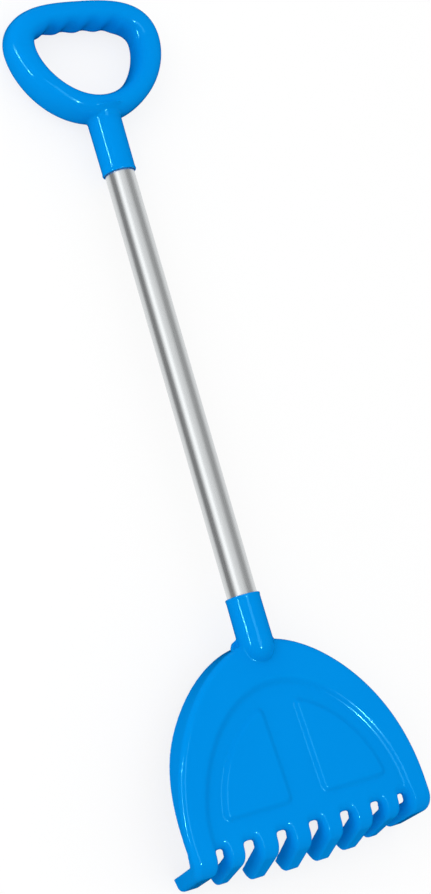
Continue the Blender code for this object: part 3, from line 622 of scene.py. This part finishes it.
def slot_space(left, right, wall=0.0):
    """A slot with its rounded front edges. With a wall, the slot and the material that lines it."""
    deep = FLANGE_DEPTH * 2.0
    steps = LINING_STEPS if wall else FLARE_STEPS
    round_steps = SLOT_STEPS - 2 if wall else SLOT_STEPS
    low = slot_ring(left, right, wall, wall, deep, round_steps)
    rings = [[(x, y, -deep) for x, y, _ in low]]
    for step in range(steps + 1):
        angle = math.pi / 2.0 * step / steps
        open_share = 1.0 - math.cos(angle)
        lining = wall * math.cos(angle)
        depth = FLARE_DEPTH * (1.0 - math.sin(angle)) + wall * math.sin(angle) - HAIR
        side = FLARE_SIDE * open_share + lining
        end = FLARE_END * open_share + lining
        rings.append(slot_ring(left, right, side, end, depth, round_steps))
    top = wall - FIELD_DEPTH / 2.0
    side, end = FLARE_SIDE * FLARE_PAST, FLARE_END * FLARE_PAST
    rings.append(slot_ring(left, right, side, end, top, round_steps))
    return stack(rings)


def tine_hook(centre, corner_tine):
    """How a tine is hooked: its turn, and its length on the blank up to its tip."""
    turn = math.radians(90.0 - TINE_DIP + TINE_DIP_FALL * centre * centre)
    reach = CORNER_REACH if corner_tine else TINE_REACH + TINE_REACH_RISE * centre * centre
    return turn, HOOK_LENGTH + reach - HOOK_INNER * math.tan(turn / 2.0)


def tip_cutter(index, left, right, wall):
    """Cuts a tine of the blank to its length, with a raked end that is rounded at the front."""
    corner_tine = index in (0, SLOTS)
    face = 0.0 if corner_tine else -FIELD_DEPTH
    back = -FLANGE_TOE_DEPTH
    length = tine_hook((left + right) / 2.0, corner_tine)[1]
    end = -HOOK_START - length + wall
    front = Vector((face - wall, end + TIP_RAKE))
    corners = [Vector((face - wall, -HOOK_START)), front]
    corners += [Vector((back, end)), Vector((back, -HOOK_START))]
    rounded = fillet(corners, [0.0, TIP_ROUND - wall / 2.0, 0.0, 0.0])[1:-1]
    slope = (rounded[-1] - rounded[-2]).normalized()
    path = [rounded[0] + Vector(TIP_RUN_OUT)] + rounded + [rounded[-1] + slope * TINE_REACH]
    far = -BLANK_END - CUT_PAST
    profile = [(point.x, point.y) for point in path] + [(path[-1].x, far), (path[0].x, far)]
    name = f"tip_{index + 1}" + ("_lining" if wall else "")
    edge = SLOT_WIDTH / 4.0
    return add_mesh(name, cross_prism(profile, left - edge, right + edge))


def make_back_cutter():
    """Cuts the flange's back edge, which is deepest beside the socket and shallow at the toe."""
    deep = FLANGE_DEPTH * 2.5
    points = [(-deep, CUT_PAST), (-FLANGE_DEPTH, CUT_PAST)]
    for step in range(TAPER_STEPS + 1):
        station = FLANGE_TAPER_START + (FLANGE_TAPER_END - FLANGE_TAPER_START) * step / TAPER_STEPS
        share = smooth_step(station, FLANGE_TAPER_START, FLANGE_TAPER_END)
        points.append((-FLANGE_DEPTH + (FLANGE_DEPTH - FLANGE_WAIST_DEPTH) * share, -station))
    points += [(-FLANGE_TOE_DEPTH, -HOOK_START), (-FLANGE_TOE_DEPTH, -BLANK_END - CUT_PAST)]
    points.append((-deep, -BLANK_END - CUT_PAST))
    reach = HEAD_HALF_WIDTH + CUT_PAST
    return add_mesh("back_cutter", cross_prism(points, -reach, reach))


def make_hollow():
    """Everything behind the front: one wall inside the block on every side, open to the back."""
    inner = HEAD_WALL
    outline = arch_outline(ARCH_TOP, ARCH_HANDLE, HEAD_HALF_WIDTH, ARCH_SHOULDER, BLANK_END, inner)
    shape = prism(outline, -FLANGE_DEPTH * 2.0, -inner)
    mark_edges(shape, lambda edge: lies_at(edge, 2, -inner))
    hollow = add_mesh("hollow", shape)
    bevel_marked(hollow, RIM_ROUND - inner, 2)
    cut(hollow, "hollow_field", field_space(inner, LINING_STEPS + 1))
    for side in (-1, 1):
        relief = spread_outline(pad_outline(side), -RELIEF_INSET)
        roof = -FIELD_DEPTH - inner
        shape = prism(relief, roof - inner, roof + PAD_HEIGHT)
        cut(hollow, f"hollow_pad_{side + 1}", shape, "UNION")
    for index, (left, right) in enumerate(slot_edges()):
        cut(hollow, f"slot_{index + 1}_lining", slot_space(left, right, inner))
    for index, (left, right) in enumerate(tine_spans()):
        cut_with(hollow, tip_cutter(index, left, right, inner))
    settle_modifiers(hollow)
    return hollow


def hooked(place, centre, width, corner_tine):
    """Where a point of the flat blank goes when its tine is squeezed, narrowed and hooked back."""
    turn, length = tine_hook(centre, corner_tine)
    face = 0.0 if corner_tine else -FIELD_DEPTH
    leg = FLANGE_TOE_DEPTH if corner_tine else TINE_LEG_BACK
    flat = (leg + face) / (FLANGE_TOE_DEPTH + face)
    narrowed = 1.0 - 2.0 * TINE_TAPER * max(-place.y - SLOT_END, 0.0) / width
    x = centre + (place.x - centre) * narrowed
    squeezed = 1.0 + (flat - 1.0) * smooth_step(-place.y, SQUEEZE_START, HOOK_START)
    z = face + (place.z - face) * squeezed
    past = -HOOK_START - place.y
    if past <= 0.0:
        return Vector((x, place.y, z))
    if corner_tine:
        root, tip = CORNER_ROOT_THICKNESS, CORNER_THICKNESS
    else:
        root = tip = TINE_THICKNESS * (1.0 - TINE_THICKNESS_FALL * centre * centre)
    thickness = leg + face
    wanted = root + (tip - root) * max(past - HOOK_LENGTH, 0.0) / (length - HOOK_LENGTH)
    wanted = thickness + (wanted - thickness) * smooth_step(past, 0.0, HOOK_LENGTH)
    radius = HOOK_INNER + (z + leg) * wanted / thickness
    angle = turn * min(past / HOOK_LENGTH, 1.0)
    beyond = max(past - HOOK_LENGTH, 0.0)
    y = -HOOK_START - radius * math.sin(angle) - beyond * math.cos(turn)
    z = -leg - HOOK_INNER + radius * math.cos(angle) - beyond * math.sin(turn)
    return Vector((x, y, z))


def hook_tines(shape):
    """Hooks the blank's straight tines back, each about its own bend."""
    for step in range(HOOK_STEPS + 1):
        station = HOOK_START + HOOK_LENGTH * step / HOOK_STEPS
        split_at(shape, Vector((0, -station, 0)), Vector((0, 1, 0)))
    spans = tine_spans()
    for vert in shape.verts:
        if vert.co.y > -SLOT_END:
            continue
        gaps = [max(left - vert.co.x, vert.co.x - right) for left, right in spans]
        index = gaps.index(min(gaps))
        left, right = spans[index]
        vert.co = hooked(vert.co.copy(), (left + right) / 2.0, right - left, index in (0, SLOTS))


def split_at(shape, point, normal):
    everything = shape.verts[:] + shape.edges[:] + shape.faces[:]
    bmesh.ops.bisect_plane(shape, geom=everything, dist=1e-7, plane_co=point, plane_no=normal)


def bowed(place):
    """Where a point of the flat head goes when the plate leans forward to the toe and bows.

    The plate bows back at its sides, and whatever stands behind it turns with its surface.
    """
    lean = PLATE_AT_NECK + PLATE_LEAN * (-NECK_STATION - place.y)
    bow = PLATE_BOW * smooth_step(-place.y, BOW_START, BOW_END)
    tilt = math.atan(2.0 * bow * place.x)
    x = place.x + place.z * math.sin(tilt)
    z = lean - bow * place.x * place.x + place.z * math.cos(tilt)
    return Vector((x, place.y, z))


def bend_head(body):
    """Splits the flat shell into bands, hooks its tines and bends it to the plate's lean and bow."""
    shape = bmesh.new()
    shape.from_mesh(body.data)
    across = int(HEAD_HALF_WIDTH / BAND_SPACING)
    for index in range(-across, across + 1):
        split_at(shape, Vector((index * BAND_SPACING, 0, 0)), Vector((1, 0, 0)))
    for index in range(1, BOW_BANDS):
        station = BOW_START + (BOW_END - BOW_START) * index / BOW_BANDS
        split_at(shape, Vector((0, -station, 0)), Vector((0, 1, 0)))
    hook_tines(shape)
    for vert in shape.verts:
        vert.co = bowed(vert.co)
    bmesh.ops.remove_doubles(shape, verts=shape.verts, dist=WELD)
    bmesh.ops.triangulate(shape, faces=shape.faces)
    shape.to_mesh(body.data)
    shape.free()


def socket_profile(depth, domed, flare=0.0):
    """Outside of a socket as (radius, Y) going away from its mouth at Y = 0."""
    end_radius = SOCKET_RADIUS + SOCKET_DRAFT
    lip_radius = SOCKET_RADIUS + LIP_PROUD
    profile = [(lip_radius - LIP_ROUND, 0.0), (lip_radius, -LIP_ROUND)]
    profile += [(lip_radius, -LIP_HEIGHT + LIP_STEP), (SOCKET_RADIUS, -LIP_HEIGHT)]
    if not domed:
        profile += [(end_radius, -depth + flare), (end_radius + flare / 4.0, -depth + flare / 3.0)]
        profile += [(end_radius + flare, -depth - flare / 3.0)]
        return profile
    for step in range(DOME_STEPS):
        angle = math.pi / 2.0 * step / DOME_STEPS
        profile.append((end_radius * math.cos(angle), -depth - DOME_LENGTH * math.sin(angle)))
    profile.append((0.0, -depth - DOME_LENGTH))
    return profile


def add_boss(body, station):
    """Gives a socket the boss for its fixing screw, on its back."""
    low = -(SOCKET_RADIUS + SOCKET_DRAFT + SCREW_BOSS_PROUD)
    boss = round_post(SCREW_BOSS_RADIUS, low, -SOCKET_BORE - FIT_GAP, station)
    cut(body, body.name + "_boss", boss, "UNION")


def cut_screw_hole(body, radius, station):
    """Cuts the hole for a fixing screw into the back of a socket or of the tube."""
    hole = round_post(SCREW_RADIUS + FIT_GAP, -2 * radius, 0.0, station)
    cut(body, body.name + "_screw_hole", hole)


def round_post(radius, low, high, station):
    """Upright round post at X = 0, from low to high."""
    shape = bmesh.new()
    size = {"radius1": radius, "radius2": radius, "depth": high - low}
    bmesh.ops.create_cone(shape, cap_ends=True, segments=POST_STEPS, **size)
    bmesh.ops.translate(shape, verts=shape.verts, vec=(0.0, station, (low + high) / 2.0))
    return shape


def make_collar():
    """Widening of the socket behind the plate's front face, where it runs into the flange."""
    top = -ARCH_TOP + COLLAR_RISE
    foot = top - COLLAR_DROP
    radius = SOCKET_RADIUS + COLLAR_FLARE
    side, drop = COLLAR_SHOULDER
    profile = [(SOCKET_RADIUS, top), (radius - COLLAR_FLARE * side, top - COLLAR_DROP * drop)]
    profile += [(radius, foot), (radius, foot - HEAD_WALL)]
    collar = add_mesh("collar", turned(profile))
    low = foot - radius
    section = [(-COLLAR_BACK, 0.0), (-COLLAR_FRONT, 0.0), (-COLLAR_FRONT, low), (-COLLAR_BACK, low)]
    keep = cross_prism(section, -2.0 * radius, 2.0 * radius)
    cut(collar, "collar_room", keep, "INTERSECT")
    settle_modifiers(collar)
    return collar


def make_head():
    """The rake head: shell, tines and socket in one moulding."""
    head = make_head_block()
    cut(head, "field_cutter", field_space(0.0))
    cut_with(head, make_back_cutter())
    for side in (-1, 1):
        cut_with(head, make_pad(side), "UNION")
    for index, (left, right) in enumerate(slot_edges()):
        cut(head, f"slot_{index + 1}", slot_space(left, right))
    for index, (left, right) in enumerate(tine_spans()):
        cut_with(head, tip_cutter(index, left, right, 0.0))
    settle_modifiers(head)
    cut_with(head, make_hollow())
    settle_modifiers(head)
    weld(head)
    bend_head(head)
    cut(head, "head_socket", turned(socket_profile(HEAD_SOCKET_DEPTH + FIT_GAP, True)), "UNION")
    cut_with(head, make_collar(), "UNION")
    add_boss(head, -SCREW_STATION)
    bottom = -HEAD_SOCKET_DEPTH - FIT_GAP
    bore = turned([(SOCKET_BORE, bottom), (SOCKET_BORE, CUT_PAST)])
    cut(head, "head_bore", bore)
    cut_screw_hole(head, SOCKET_RADIUS, -SCREW_STATION)
    settle_modifiers(head)
    return head


def grip_centreline(steps):
    """Closed centreline of the grip's loop, as (X, distance from the socket's mouth).

    Its points stand closest at the fingers.
    """
    top, bottom = Vector((0, GRIP_TOP)), Vector((0, GRIP_BOTTOM))
    widest = Vector((GRIP_HALF_WIDTH, GRIP_WIDEST))
    top_handle, shoulder = Vector((GRIP_TOP_HANDLE, GRIP_TOP)), Vector((GRIP_HALF_WIDTH, GRIP_SHOULDER))
    cheek, chin_handle = Vector((GRIP_HALF_WIDTH, GRIP_CHEEK)), Vector((GRIP_CHIN_HANDLE, GRIP_BOTTOM))
    bar = interpolate_bezier(top, top_handle, shoulder, widest, CURVE_STEPS)
    chin = interpolate_bezier(widest, cheek, chin_handle, bottom, CURVE_STEPS)
    right = np.array([point[:2] for point in bar + chin[1:]])
    pieces = np.linalg.norm(np.diff(right, axis=0), axis=1)
    fingers = (right[1:, 1] > GRIP_WIDEST) & (right[1:, 0] < FINGER_PITCH * FINGERS / 2.0)
    length = np.concatenate([[0.0], np.cumsum(pieces * np.where(fingers, FINGER_CROWDING, 1.0))])
    places = np.linspace(0.0, length[-1], steps // 2 + 1)
    half = np.stack([np.interp(places, length, right[:, axis]) for axis in (0, 1)], axis=1)
    left = half[-2:0:-1] * np.array([-1.0, 1.0])
    return np.concatenate([half, left])


def section_sizes(height):
    """Half height and half depth of the grip's section at a distance from the socket's mouth."""
    stations = [GRIP_BOTTOM, GRIP_BOTTOM + CHIN_RUN, GRIP_WIDEST, GRIP_TOP - BAR_RUN, GRIP_TOP]
    heights = [CHIN_HALF_HEIGHT, CHIN_HALF_HEIGHT, CHEEK_HALF_WIDTH, BAR_HALF_HEIGHT, BAR_HALF_HEIGHT]
    depths = [CHIN_HALF_DEPTH, CHIN_HALF_DEPTH, CHEEK_HALF_DEPTH, BAR_HALF_DEPTH, BAR_HALF_DEPTH]
    return np.interp(height, stations, heights), np.interp(height, stations, depths)


def finger_dent(x, height):
    """Depth of the finger grooves under the bar: one cosine wave to each finger."""
    if height < GRIP_WIDEST or abs(x) > FINGER_PITCH * FINGERS / 2.0:
        return 0.0
    wave = 0.5 - 0.5 * math.cos(2.0 * math.pi * (x / FINGER_PITCH + FINGERS / 2.0))
    return FINGER_DEPTH * wave


def make_loop(name, shrink, loop_steps, steps):
    """The grip's loop as a closed sweep of rounded sections, made smaller all round by shrink."""
    line = grip_centreline(loop_steps)
    count = len(line)
    middle = np.array([0.0, (GRIP_TOP + GRIP_BOTTOM) / 2.0])
    shape = bmesh.new()
    rings = []
    for index, place in enumerate(line):
        along = line[(index + 1) % count] - line[index - 1]
        along /= np.linalg.norm(along)
        outwards = np.array([along[1], -along[0]])
        if outwards.dot(place - middle) < 0.0:
            outwards = -outwards
        half_height, half_depth = section_sizes(place[1])
        ring = []
        for step in range(steps):
            angle = 2.0 * math.pi * step / steps
            rise = math.copysign(abs(math.cos(angle)) ** (2.0 / GRIP_SECTION_POWER), math.cos(angle))
            side = math.copysign(abs(math.sin(angle)) ** (2.0 / GRIP_SECTION_POWER), math.sin(angle))
            reach = rise * (half_height - shrink)
            if rise < 0.0:
                reach += finger_dent(place[0], place[1]) * rise * rise
            x, y = place + outwards * reach
            ring.append(shape.verts.new((x, SHAFT_SHOWN + y, side * (half_depth - shrink))))
        rings.append(ring)
    for index in range(count):
        side_faces(shape, rings[index], rings[(index + 1) % count])
    return add_mesh(name, shape)


def make_grip():
    """The D grip: a hollow loop joined to its socket, open inside to the socket's bore."""
    grip = make_loop("grip", 0.0, LOOP_STEPS, SECTION_STEPS)
    neck_end = GRIP_BOTTOM - CHIN_HALF_HEIGHT
    outside = socket_profile(neck_end + NECK_FLARE, False, NECK_FLARE)
    neck = turned([(radius, SHAFT_SHOWN - station) for radius, station in outside])
    cut(grip, "grip_neck", neck, "UNION")
    add_boss(grip, SHAFT_SHOWN + SCREW_STATION)
    cavity = make_loop("grip_cavity", GRIP_WALL, CAVITY_LOOP_STEPS, CAVITY_SECTION_STEPS)
    cut_with(grip, cavity)
    stop = SHAFT_SHOWN + GRIP_SOCKET_DEPTH + FIT_GAP
    middle = SHAFT_SHOWN + GRIP_BOTTOM
    wide = [(SOCKET_BORE, SHAFT_SHOWN - CUT_PAST), (SOCKET_BORE, stop)]
    bore = turned(wide + [(VENT_RADIUS, stop), (VENT_RADIUS, middle)])
    cut(grip, "grip_bore", bore)
    cut_screw_hole(grip, SOCKET_RADIUS, SHAFT_SHOWN + SCREW_STATION)
    settle_modifiers(grip)
    return grip


def shaft_frame():
    """The shaft's own frame in the scene, from the two ends of the CAD tube."""
    tube = cad["shaft_tube"]
    points = np.array([tube.matrix_world @ vert.co for vert in tube.data.vertices])
    points = np.unique(points.round(7), axis=0)
    low = points[points[:, 1] < points[:, 1].min() + TUBE_END].mean(0)
    high = points[points[:, 1] > points[:, 1].max() - TUBE_END].mean(0)
    along = Vector(high - low).normalized()
    across = Vector((1.0, 0.0, 0.0))
    front = across.cross(along)
    origin = Vector(low) + along * HEAD_SOCKET_DEPTH
    turn = Matrix((across, along, front)).transposed().to_4x4()
    return Matrix.Translation(origin) @ turn


def add_camera():
    data = bpy.data.cameras.new("camera")
    data.sensor_fit = "AUTO"
    data.sensor_width = SENSOR
    data.lens = LENS
    data.clip_start, data.clip_end = 0.05, 50.0
    camera = bpy.data.objects.new("camera", data)
    scene.collection.objects.link(camera)
    right = CAMERA_AHEAD.cross(CAMERA_UP).normalized()
    up = right.cross(CAMERA_AHEAD).normalized()
    turn = Matrix((right, up, -CAMERA_AHEAD.normalized())).transposed().to_4x4()
    camera.matrix_world = frame @ Matrix.Translation(CAMERA_PLACE) @ turn
    scene.camera = camera


def add_lamp(name, place, target, size, power):
    """A softbox. Its place and target are in the shaft's frame."""
    data = bpy.data.lights.new(name, "AREA")
    data.shape = "RECTANGLE"
    data.size, data.size_y = size
    data.energy = power
    lamp = bpy.data.objects.new(name, data)
    scene.collection.objects.link(lamp)
    place, target = frame @ Vector(place), frame @ Vector(target)
    along = frame.to_3x3() @ Vector((0.0, 1.0, 0.0))
    back = (place - target).normalized()
    side = along.cross(back).normalized()
    turn = Matrix((side, back.cross(side), back)).transposed().to_4x4()
    lamp.matrix_world = Matrix.Translation(place) @ turn
    return lamp


def soften(piece, grid, fillet_rounds=0):
    """Evens out a moulding's surface on a fine grid and softens its edges."""
    remesh = piece.modifiers.new("grid", "REMESH")
    remesh.mode = "VOXEL"
    remesh.voxel_size = grid
    settle_modifiers(piece)
    smooth = piece.modifiers.new("softening", "SMOOTH")
    smooth.factor = SOFTENING_STRENGTH
    smooth.iterations = SOFTENING
    if fillet_rounds:
        near = piece.vertex_groups.new(name="root")
        for vert in piece.data.vertices:
            share = root_share(vert.co)
            if share > 0.0:
                near.add([vert.index], share, "REPLACE")
        blend = piece.modifiers.new("fillet", "SMOOTH")
        blend.factor = SOFTENING_STRENGTH
        blend.iterations = fillet_rounds
        blend.vertex_group = "root"
    settle_modifiers(piece)
    piece.data.shade_smooth()


def root_share(place):
    """Share of the fillet at a point: at the head socket's root, and in the outermost notches."""
    notch = math.hypot(abs(place.x) - NOTCH_SPOT[0], place.y - NOTCH_SPOT[1])
    if notch < NOTCH_NONE:
        return 1.0 - smooth_step(notch, NOTCH_FULL, NOTCH_NONE)
    if place.z < 0.0 or place.y > -ROOT_TOP or place.y < -ROOT_FOOT or abs(place.x) > ROOT_SIDE:
        return 0.0
    station = min(max((-place.y - HEAD_SOCKET_DEPTH) / DOME_LENGTH, 0.0), 0.999)
    radius = (SOCKET_RADIUS + SOCKET_DRAFT) * math.sqrt(1.0 - station * station)
    off_dome = abs(math.hypot(place.x, place.z) - radius)
    plate = bowed(Vector((place.x, place.y, 0.0)))
    off_plate = abs(place.z - plate.z)
    return 1.0 - smooth_step(math.hypot(off_dome, off_plate), ROOT_FULL, ROOT_NONE)


def make_screw_piece(name, station):
    """Pan-head screw with a cross drive, pointing to +Z into the socket's back."""
    seat = -(SOCKET_RADIUS + SOCKET_DRAFT + SCREW_BOSS_PROUD) - FIT_GAP
    crown = SCREW_HEAD_HEIGHT
    rim = SCREW_HEAD_RADIUS
    profile = [(0.0, -crown)]
    for step in range(1, CROWN_STEPS + 1):
        angle = math.pi / 2.0 * step / CROWN_STEPS
        height = CROWN_RIM + (1.0 - CROWN_RIM) * math.cos(angle)
        profile.append((rim * math.sin(angle), -crown * height))
    profile += [(rim, -SCREW_EDGE), (rim - SCREW_EDGE, 0.0), (SCREW_RADIUS, 0.0)]
    profile += [(SCREW_RADIUS, SCREW_LENGTH * POINT_START), (0.0, SCREW_LENGTH)]
    screw = add_mesh(name, turned(profile, SCREW_STEPS))
    wide, narrow, deep = rim * DRIVE_LENGTH, rim * DRIVE_WIDTH, crown * DRIVE_DEPTH
    for index, (x, z) in enumerate(((wide, narrow), (narrow, wide))):
        outline = [Vector((-x, -z)), Vector((x, -z)), Vector((x, z)), Vector((-x, z))]
        shape = prism(outline, -crown * 2.0, -crown + deep)
        for vert in shape.verts:
            vert.co = Vector((vert.co.x, vert.co.z, vert.co.y))
        cut(screw, f"{name}_drive_{index}", shape)
    settle_modifiers(screw)
    for vert in screw.data.vertices:
        vert.co = Vector((vert.co.x, station + vert.co.z, seat + vert.co.y))
    screw.data.flip_normals()  # the swap of Y and Z turned its faces in
    return screw


def make_tube_piece():
    """The tube with its wall, chamfered ends and screw holes."""
    low = -HEAD_SOCKET_DEPTH
    high = SHAFT_SHOWN + GRIP_SOCKET_DEPTH
    tube = add_mesh("tube", turned_tube(SHAFT_RADIUS - SHAFT_WALL, SHAFT_RADIUS, low, high))
    for station in (-SCREW_STATION, SHAFT_SHOWN + SCREW_STATION):
        cut_screw_hole(tube, SHAFT_RADIUS, station)
    edges = tube.modifiers.new("chamfers", "BEVEL")
    edges.limit_method = "ANGLE"
    edges.angle_limit = math.radians(CHAMFER_FROM)
    edges.width = CHAMFER
    edges.segments = CHAMFER_STEPS
    settle_modifiers(tube)
    return tube


def add_node(tree, kind, values, **settings):
    """Adds a node, with its own settings and with the values of some of its sockets."""
    node = tree.nodes.new("ShaderNode" + kind)
    for setting, value in settings.items():
        setattr(node, setting, value)
    for socket, value in values.items():
        node.inputs[socket].default_value = value
    return node


def join(tree, *ways):
    """Links nodes: each way is a node, its output, the next node and its input."""
    for node, output, after, entry in ways:
        tree.links.new(node.outputs[output], after.inputs[entry])


def new_material(name, values):
    made = bpy.data.materials.new(name)
    made.use_nodes = True
    shader = made.node_tree.nodes["Principled BSDF"]
    for socket, value in values.items():
        shader.inputs[socket].default_value = value
    return made, made.node_tree, shader


def add_noise(tree, scale, detail, stretch=(1.0, 1.0, 1.0)):
    """Noise in the object's own space."""
    place = add_node(tree, "TexCoord", {})
    scaled = add_node(tree, "Mapping", {"Scale": stretch})
    noise = add_node(tree, "TexNoise", {"Scale": scale, "Detail": detail})
    join(tree, (place, "Object", scaled, "Vector"), (scaled, "Vector", noise, "Vector"))
    return noise


def vary_colour(tree, shader, noise, low, high):
    tint = add_node(tree, "Mix", {6: (*low, 1.0), 7: (*high, 1.0)}, data_type="RGBA")
    join(tree, (noise, "Fac", tint, 0), (tint, 2, shader, "Base Color"))


def vary_gloss(tree, shader, noise, low, high):
    gloss = add_node(tree, "MapRange", {"To Min": low, "To Max": high})
    join(tree, (noise, "Fac", gloss, "Value"), (gloss, "Result", shader, "Roughness"))


def add_bump(tree, shader, noise, strength, distance):
    bump = add_node(tree, "Bump", {"Strength": strength, "Distance": distance})
    join(tree, (noise, "Fac", bump, "Height"), (bump, "Normal", shader, "Normal"))


def plastic():
    """Glossy blue polypropylene, its colour and gloss faintly uneven, with a fine moulded skin."""
    gloss = {"IOR": 1.49, "Specular IOR Level": 0.40, "Specular Tint": (0.16, 0.85, 1.0, 1.0)}
    made, tree, shader = new_material("blue_plastic", gloss)
    cloud = add_noise(tree, 14.0, 3.0)
    vary_colour(tree, shader, cloud, (0.0, 0.262, 0.765), (0.0, 0.284, 0.800))
    vary_gloss(tree, shader, cloud, 0.075, 0.10)
    add_bump(tree, shader, add_noise(tree, 900.0, 2.0), 0.04, 0.0002)
    return made


def aluminium():
    """Drawn aluminium: fine lines run along the tube and change its colour and gloss a little."""
    made, tree, shader = new_material("drawn_aluminium", {"Metallic": 1.0})
    lines = add_noise(tree, 1800.0, 3.0, (1.0, 0.004, 1.0))
    vary_colour(tree, shader, lines, (0.79, 0.815, 0.825), (0.85, 0.875, 0.885))
    vary_gloss(tree, shader, lines, 0.22, 0.34)
    add_bump(tree, shader, lines, 0.03, 0.0001)
    return made


def steel():
    """Zinc-plated steel of the screws, slightly mottled."""
    made, tree, shader = new_material("zinc_steel", {"Metallic": 1.0, "Roughness": 0.32})
    vary_colour(tree, shader, add_noise(tree, 700.0, 2.0), (0.52, 0.52, 0.54), (0.66, 0.66, 0.67))
    return made


def set_material(piece, material):
    piece.data.materials.clear()
    piece.data.materials.append(material)


def add_floor():
    """Pale floor under the rake. To the camera it glows a little, so that the shadow on it is light."""
    shape = bmesh.new()
    bmesh.ops.create_grid(shape, x_segments=1, y_segments=1, size=FLOOR_SIZE / 2.0)
    floor = new_object("floor", shape, scene.collection)
    floor.location.z = -FLOOR_DROP
    floor.visible_glossy = False
    made, tree, shader = new_material("floor", {"Roughness": 1.0, "Specular IOR Level": 0.0})
    pale, white = (0.92, 0.92, 0.92, 1.0), (0.98, 0.98, 0.98, 1.0)
    path = add_node(tree, "LightPath", {})
    paint = add_node(tree, "Mix", {6: pale, 7: white}, data_type="RGBA")
    glow = add_node(tree, "Emission", {})
    share = add_node(tree, "Math", {1: FLOOR_GLOW}, operation="MULTIPLY")
    mix = add_node(tree, "MixShader", {})
    join(tree, (path, "Is Camera Ray", paint, 0), (paint, 2, shader, "Base Color"),
         (path, "Is Camera Ray", share, 0), (share, "Value", mix, "Fac"), (shader, "BSDF", mix, 1),
         (glow, "Emission", mix, 2), (mix, "Shader", tree.nodes["Material Output"], "Surface"))
    set_material(floor, made)


def set_world():
    """Plain white studio: an even light for matt surfaces, white behind the object, dark in its gloss."""
    world = bpy.data.worlds.new("studio")
    scene.world = world
    world.use_nodes = True
    tree = world.node_tree
    path = add_node(tree, "LightPath", {})
    matt, mirrored, white = ((level, level, level, 1.0) for level in (AMBIENT, GLOSS_LEVEL, 1.0))
    gloss = add_node(tree, "Mix", {6: matt, 7: mirrored}, data_type="RGBA")
    backdrop = add_node(tree, "Mix", {7: white}, data_type="RGBA")
    join(tree, (path, "Is Glossy Ray", gloss, 0), (path, "Is Camera Ray", backdrop, 0),
         (gloss, 2, backdrop, 6), (backdrop, 2, tree.nodes["Background"], "Color"))


def add_room(pieces):
    """Studio walls as metal mirrors them: a wide tube round the shaft with light and dark zones."""
    shape = bmesh.new()
    size = {"radius1": ROOM_RADIUS, "radius2": ROOM_RADIUS, "depth": ROOM_LENGTH}
    bmesh.ops.create_cone(shape, segments=ROOM_SIDES, **size)
    room = new_object("room", shape, scene.collection)
    room.matrix_world = frame @ Matrix.Rotation(math.pi / 2.0, 4, "X")
    for kind in ("camera", "diffuse", "transmission", "shadow", "volume_scatter"):
        setattr(room, "visible_" + kind, False)
    made, tree, shader = new_material("room", {})
    tree.nodes.remove(shader)
    place = add_node(tree, "TexCoord", {})
    split = add_node(tree, "SeparateXYZ", {})
    angle = add_node(tree, "Math", {}, operation="ARCTAN2")
    turn = add_node(tree, "MapRange", {"From Min": -math.pi, "From Max": math.pi})
    zones = add_node(tree, "ValToRGB", {})
    zones.color_ramp.interpolation = "EASE"
    stops = zones.color_ramp.elements
    for degrees, level in ROOM:
        ends = {-180: 0, 180: len(stops) - 1}
        stop = stops[ends[degrees]] if degrees in ends else stops.new(degrees / 360.0 + 0.5)
        stop.color = (level, level, level, 1.0)
    glow = add_node(tree, "Emission", {})
    join(tree, (place, "Object", split, "Vector"), (split, "X", angle, 0), (split, "Y", angle, 1),
         (angle, "Value", turn, "Value"), (turn, "Result", zones, "Fac"), (zones, "Color", glow, "Color"),
         (glow, "Emission", tree.nodes["Material Output"], "Surface"))
    set_material(room, made)
    room.light_linking.receiver_collection = pieces


def settle_on_cad(piece, name, material, node):
    """Moves a finished piece from the shaft's frame into the scene, where it stands for its node."""
    piece.data.transform(frame)
    piece.data.update()
    bench.objects.unlink(piece)
    scene.collection.objects.link(piece)
    piece.name = name
    set_material(piece, material)
    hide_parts(node)
    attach(piece, "root")


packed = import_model()
scene = bpy.context.scene
cad = packed["nodes"]
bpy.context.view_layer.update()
frame = shaft_frame()
add_camera()

bench = bpy.data.collections.new("bench")
scene.collection.children.link(bench)
blue, silver, zinc = plastic(), aluminium(), steel()
head = make_head()
soften(head, HEAD_GRID, FILLET_SOFTENING)
grip = make_grip()
soften(grip, GRIP_GRID)
tube = make_tube_piece()
head_screw = make_screw_piece("head_screw_piece", -SCREW_STATION)
grip_screw = make_screw_piece("grip_screw_piece", SHAFT_SHOWN + SCREW_STATION)
for piece in (tube, head_screw, grip_screw):
    piece.data.shade_smooth()
    piece.data.set_sharp_from_angle(angle=math.radians(SHARP_FROM))
for piece, name, material, node in (
    (head, "head_moulding", blue, "rake_head"),
    (grip, "grip_moulding", blue, "grip"),
    (tube, "tube", silver, "shaft_tube"),
    (head_screw, "head_screw_piece", zinc, "head_screw"),
    (grip_screw, "grip_screw_piece", zinc, "grip_screw"),
):
    settle_on_cad(piece, name, material, node)
for tool in list(bench.objects):
    bpy.data.objects.remove(tool, do_unlink=True)
bpy.data.collections.remove(bench)

add_floor()
set_world()
plastics, metals = (bpy.data.collections.new(name) for name in ("plastics", "metals"))
for piece in (head, grip):
    plastics.objects.link(piece)
for piece in (tube, head_screw, grip_screw):
    metals.objects.link(piece)
for name, values in GLOSS_LAMPS.items():
    lamp = add_lamp(name, *values)
    lamp.visible_diffuse = False
    lamp.light_linking.receiver_collection = plastics
lamp = add_lamp("left", *MATT_LAMP)
lamp.visible_glossy = False
add_room(metals)

scene.view_settings.view_transform = "Standard"
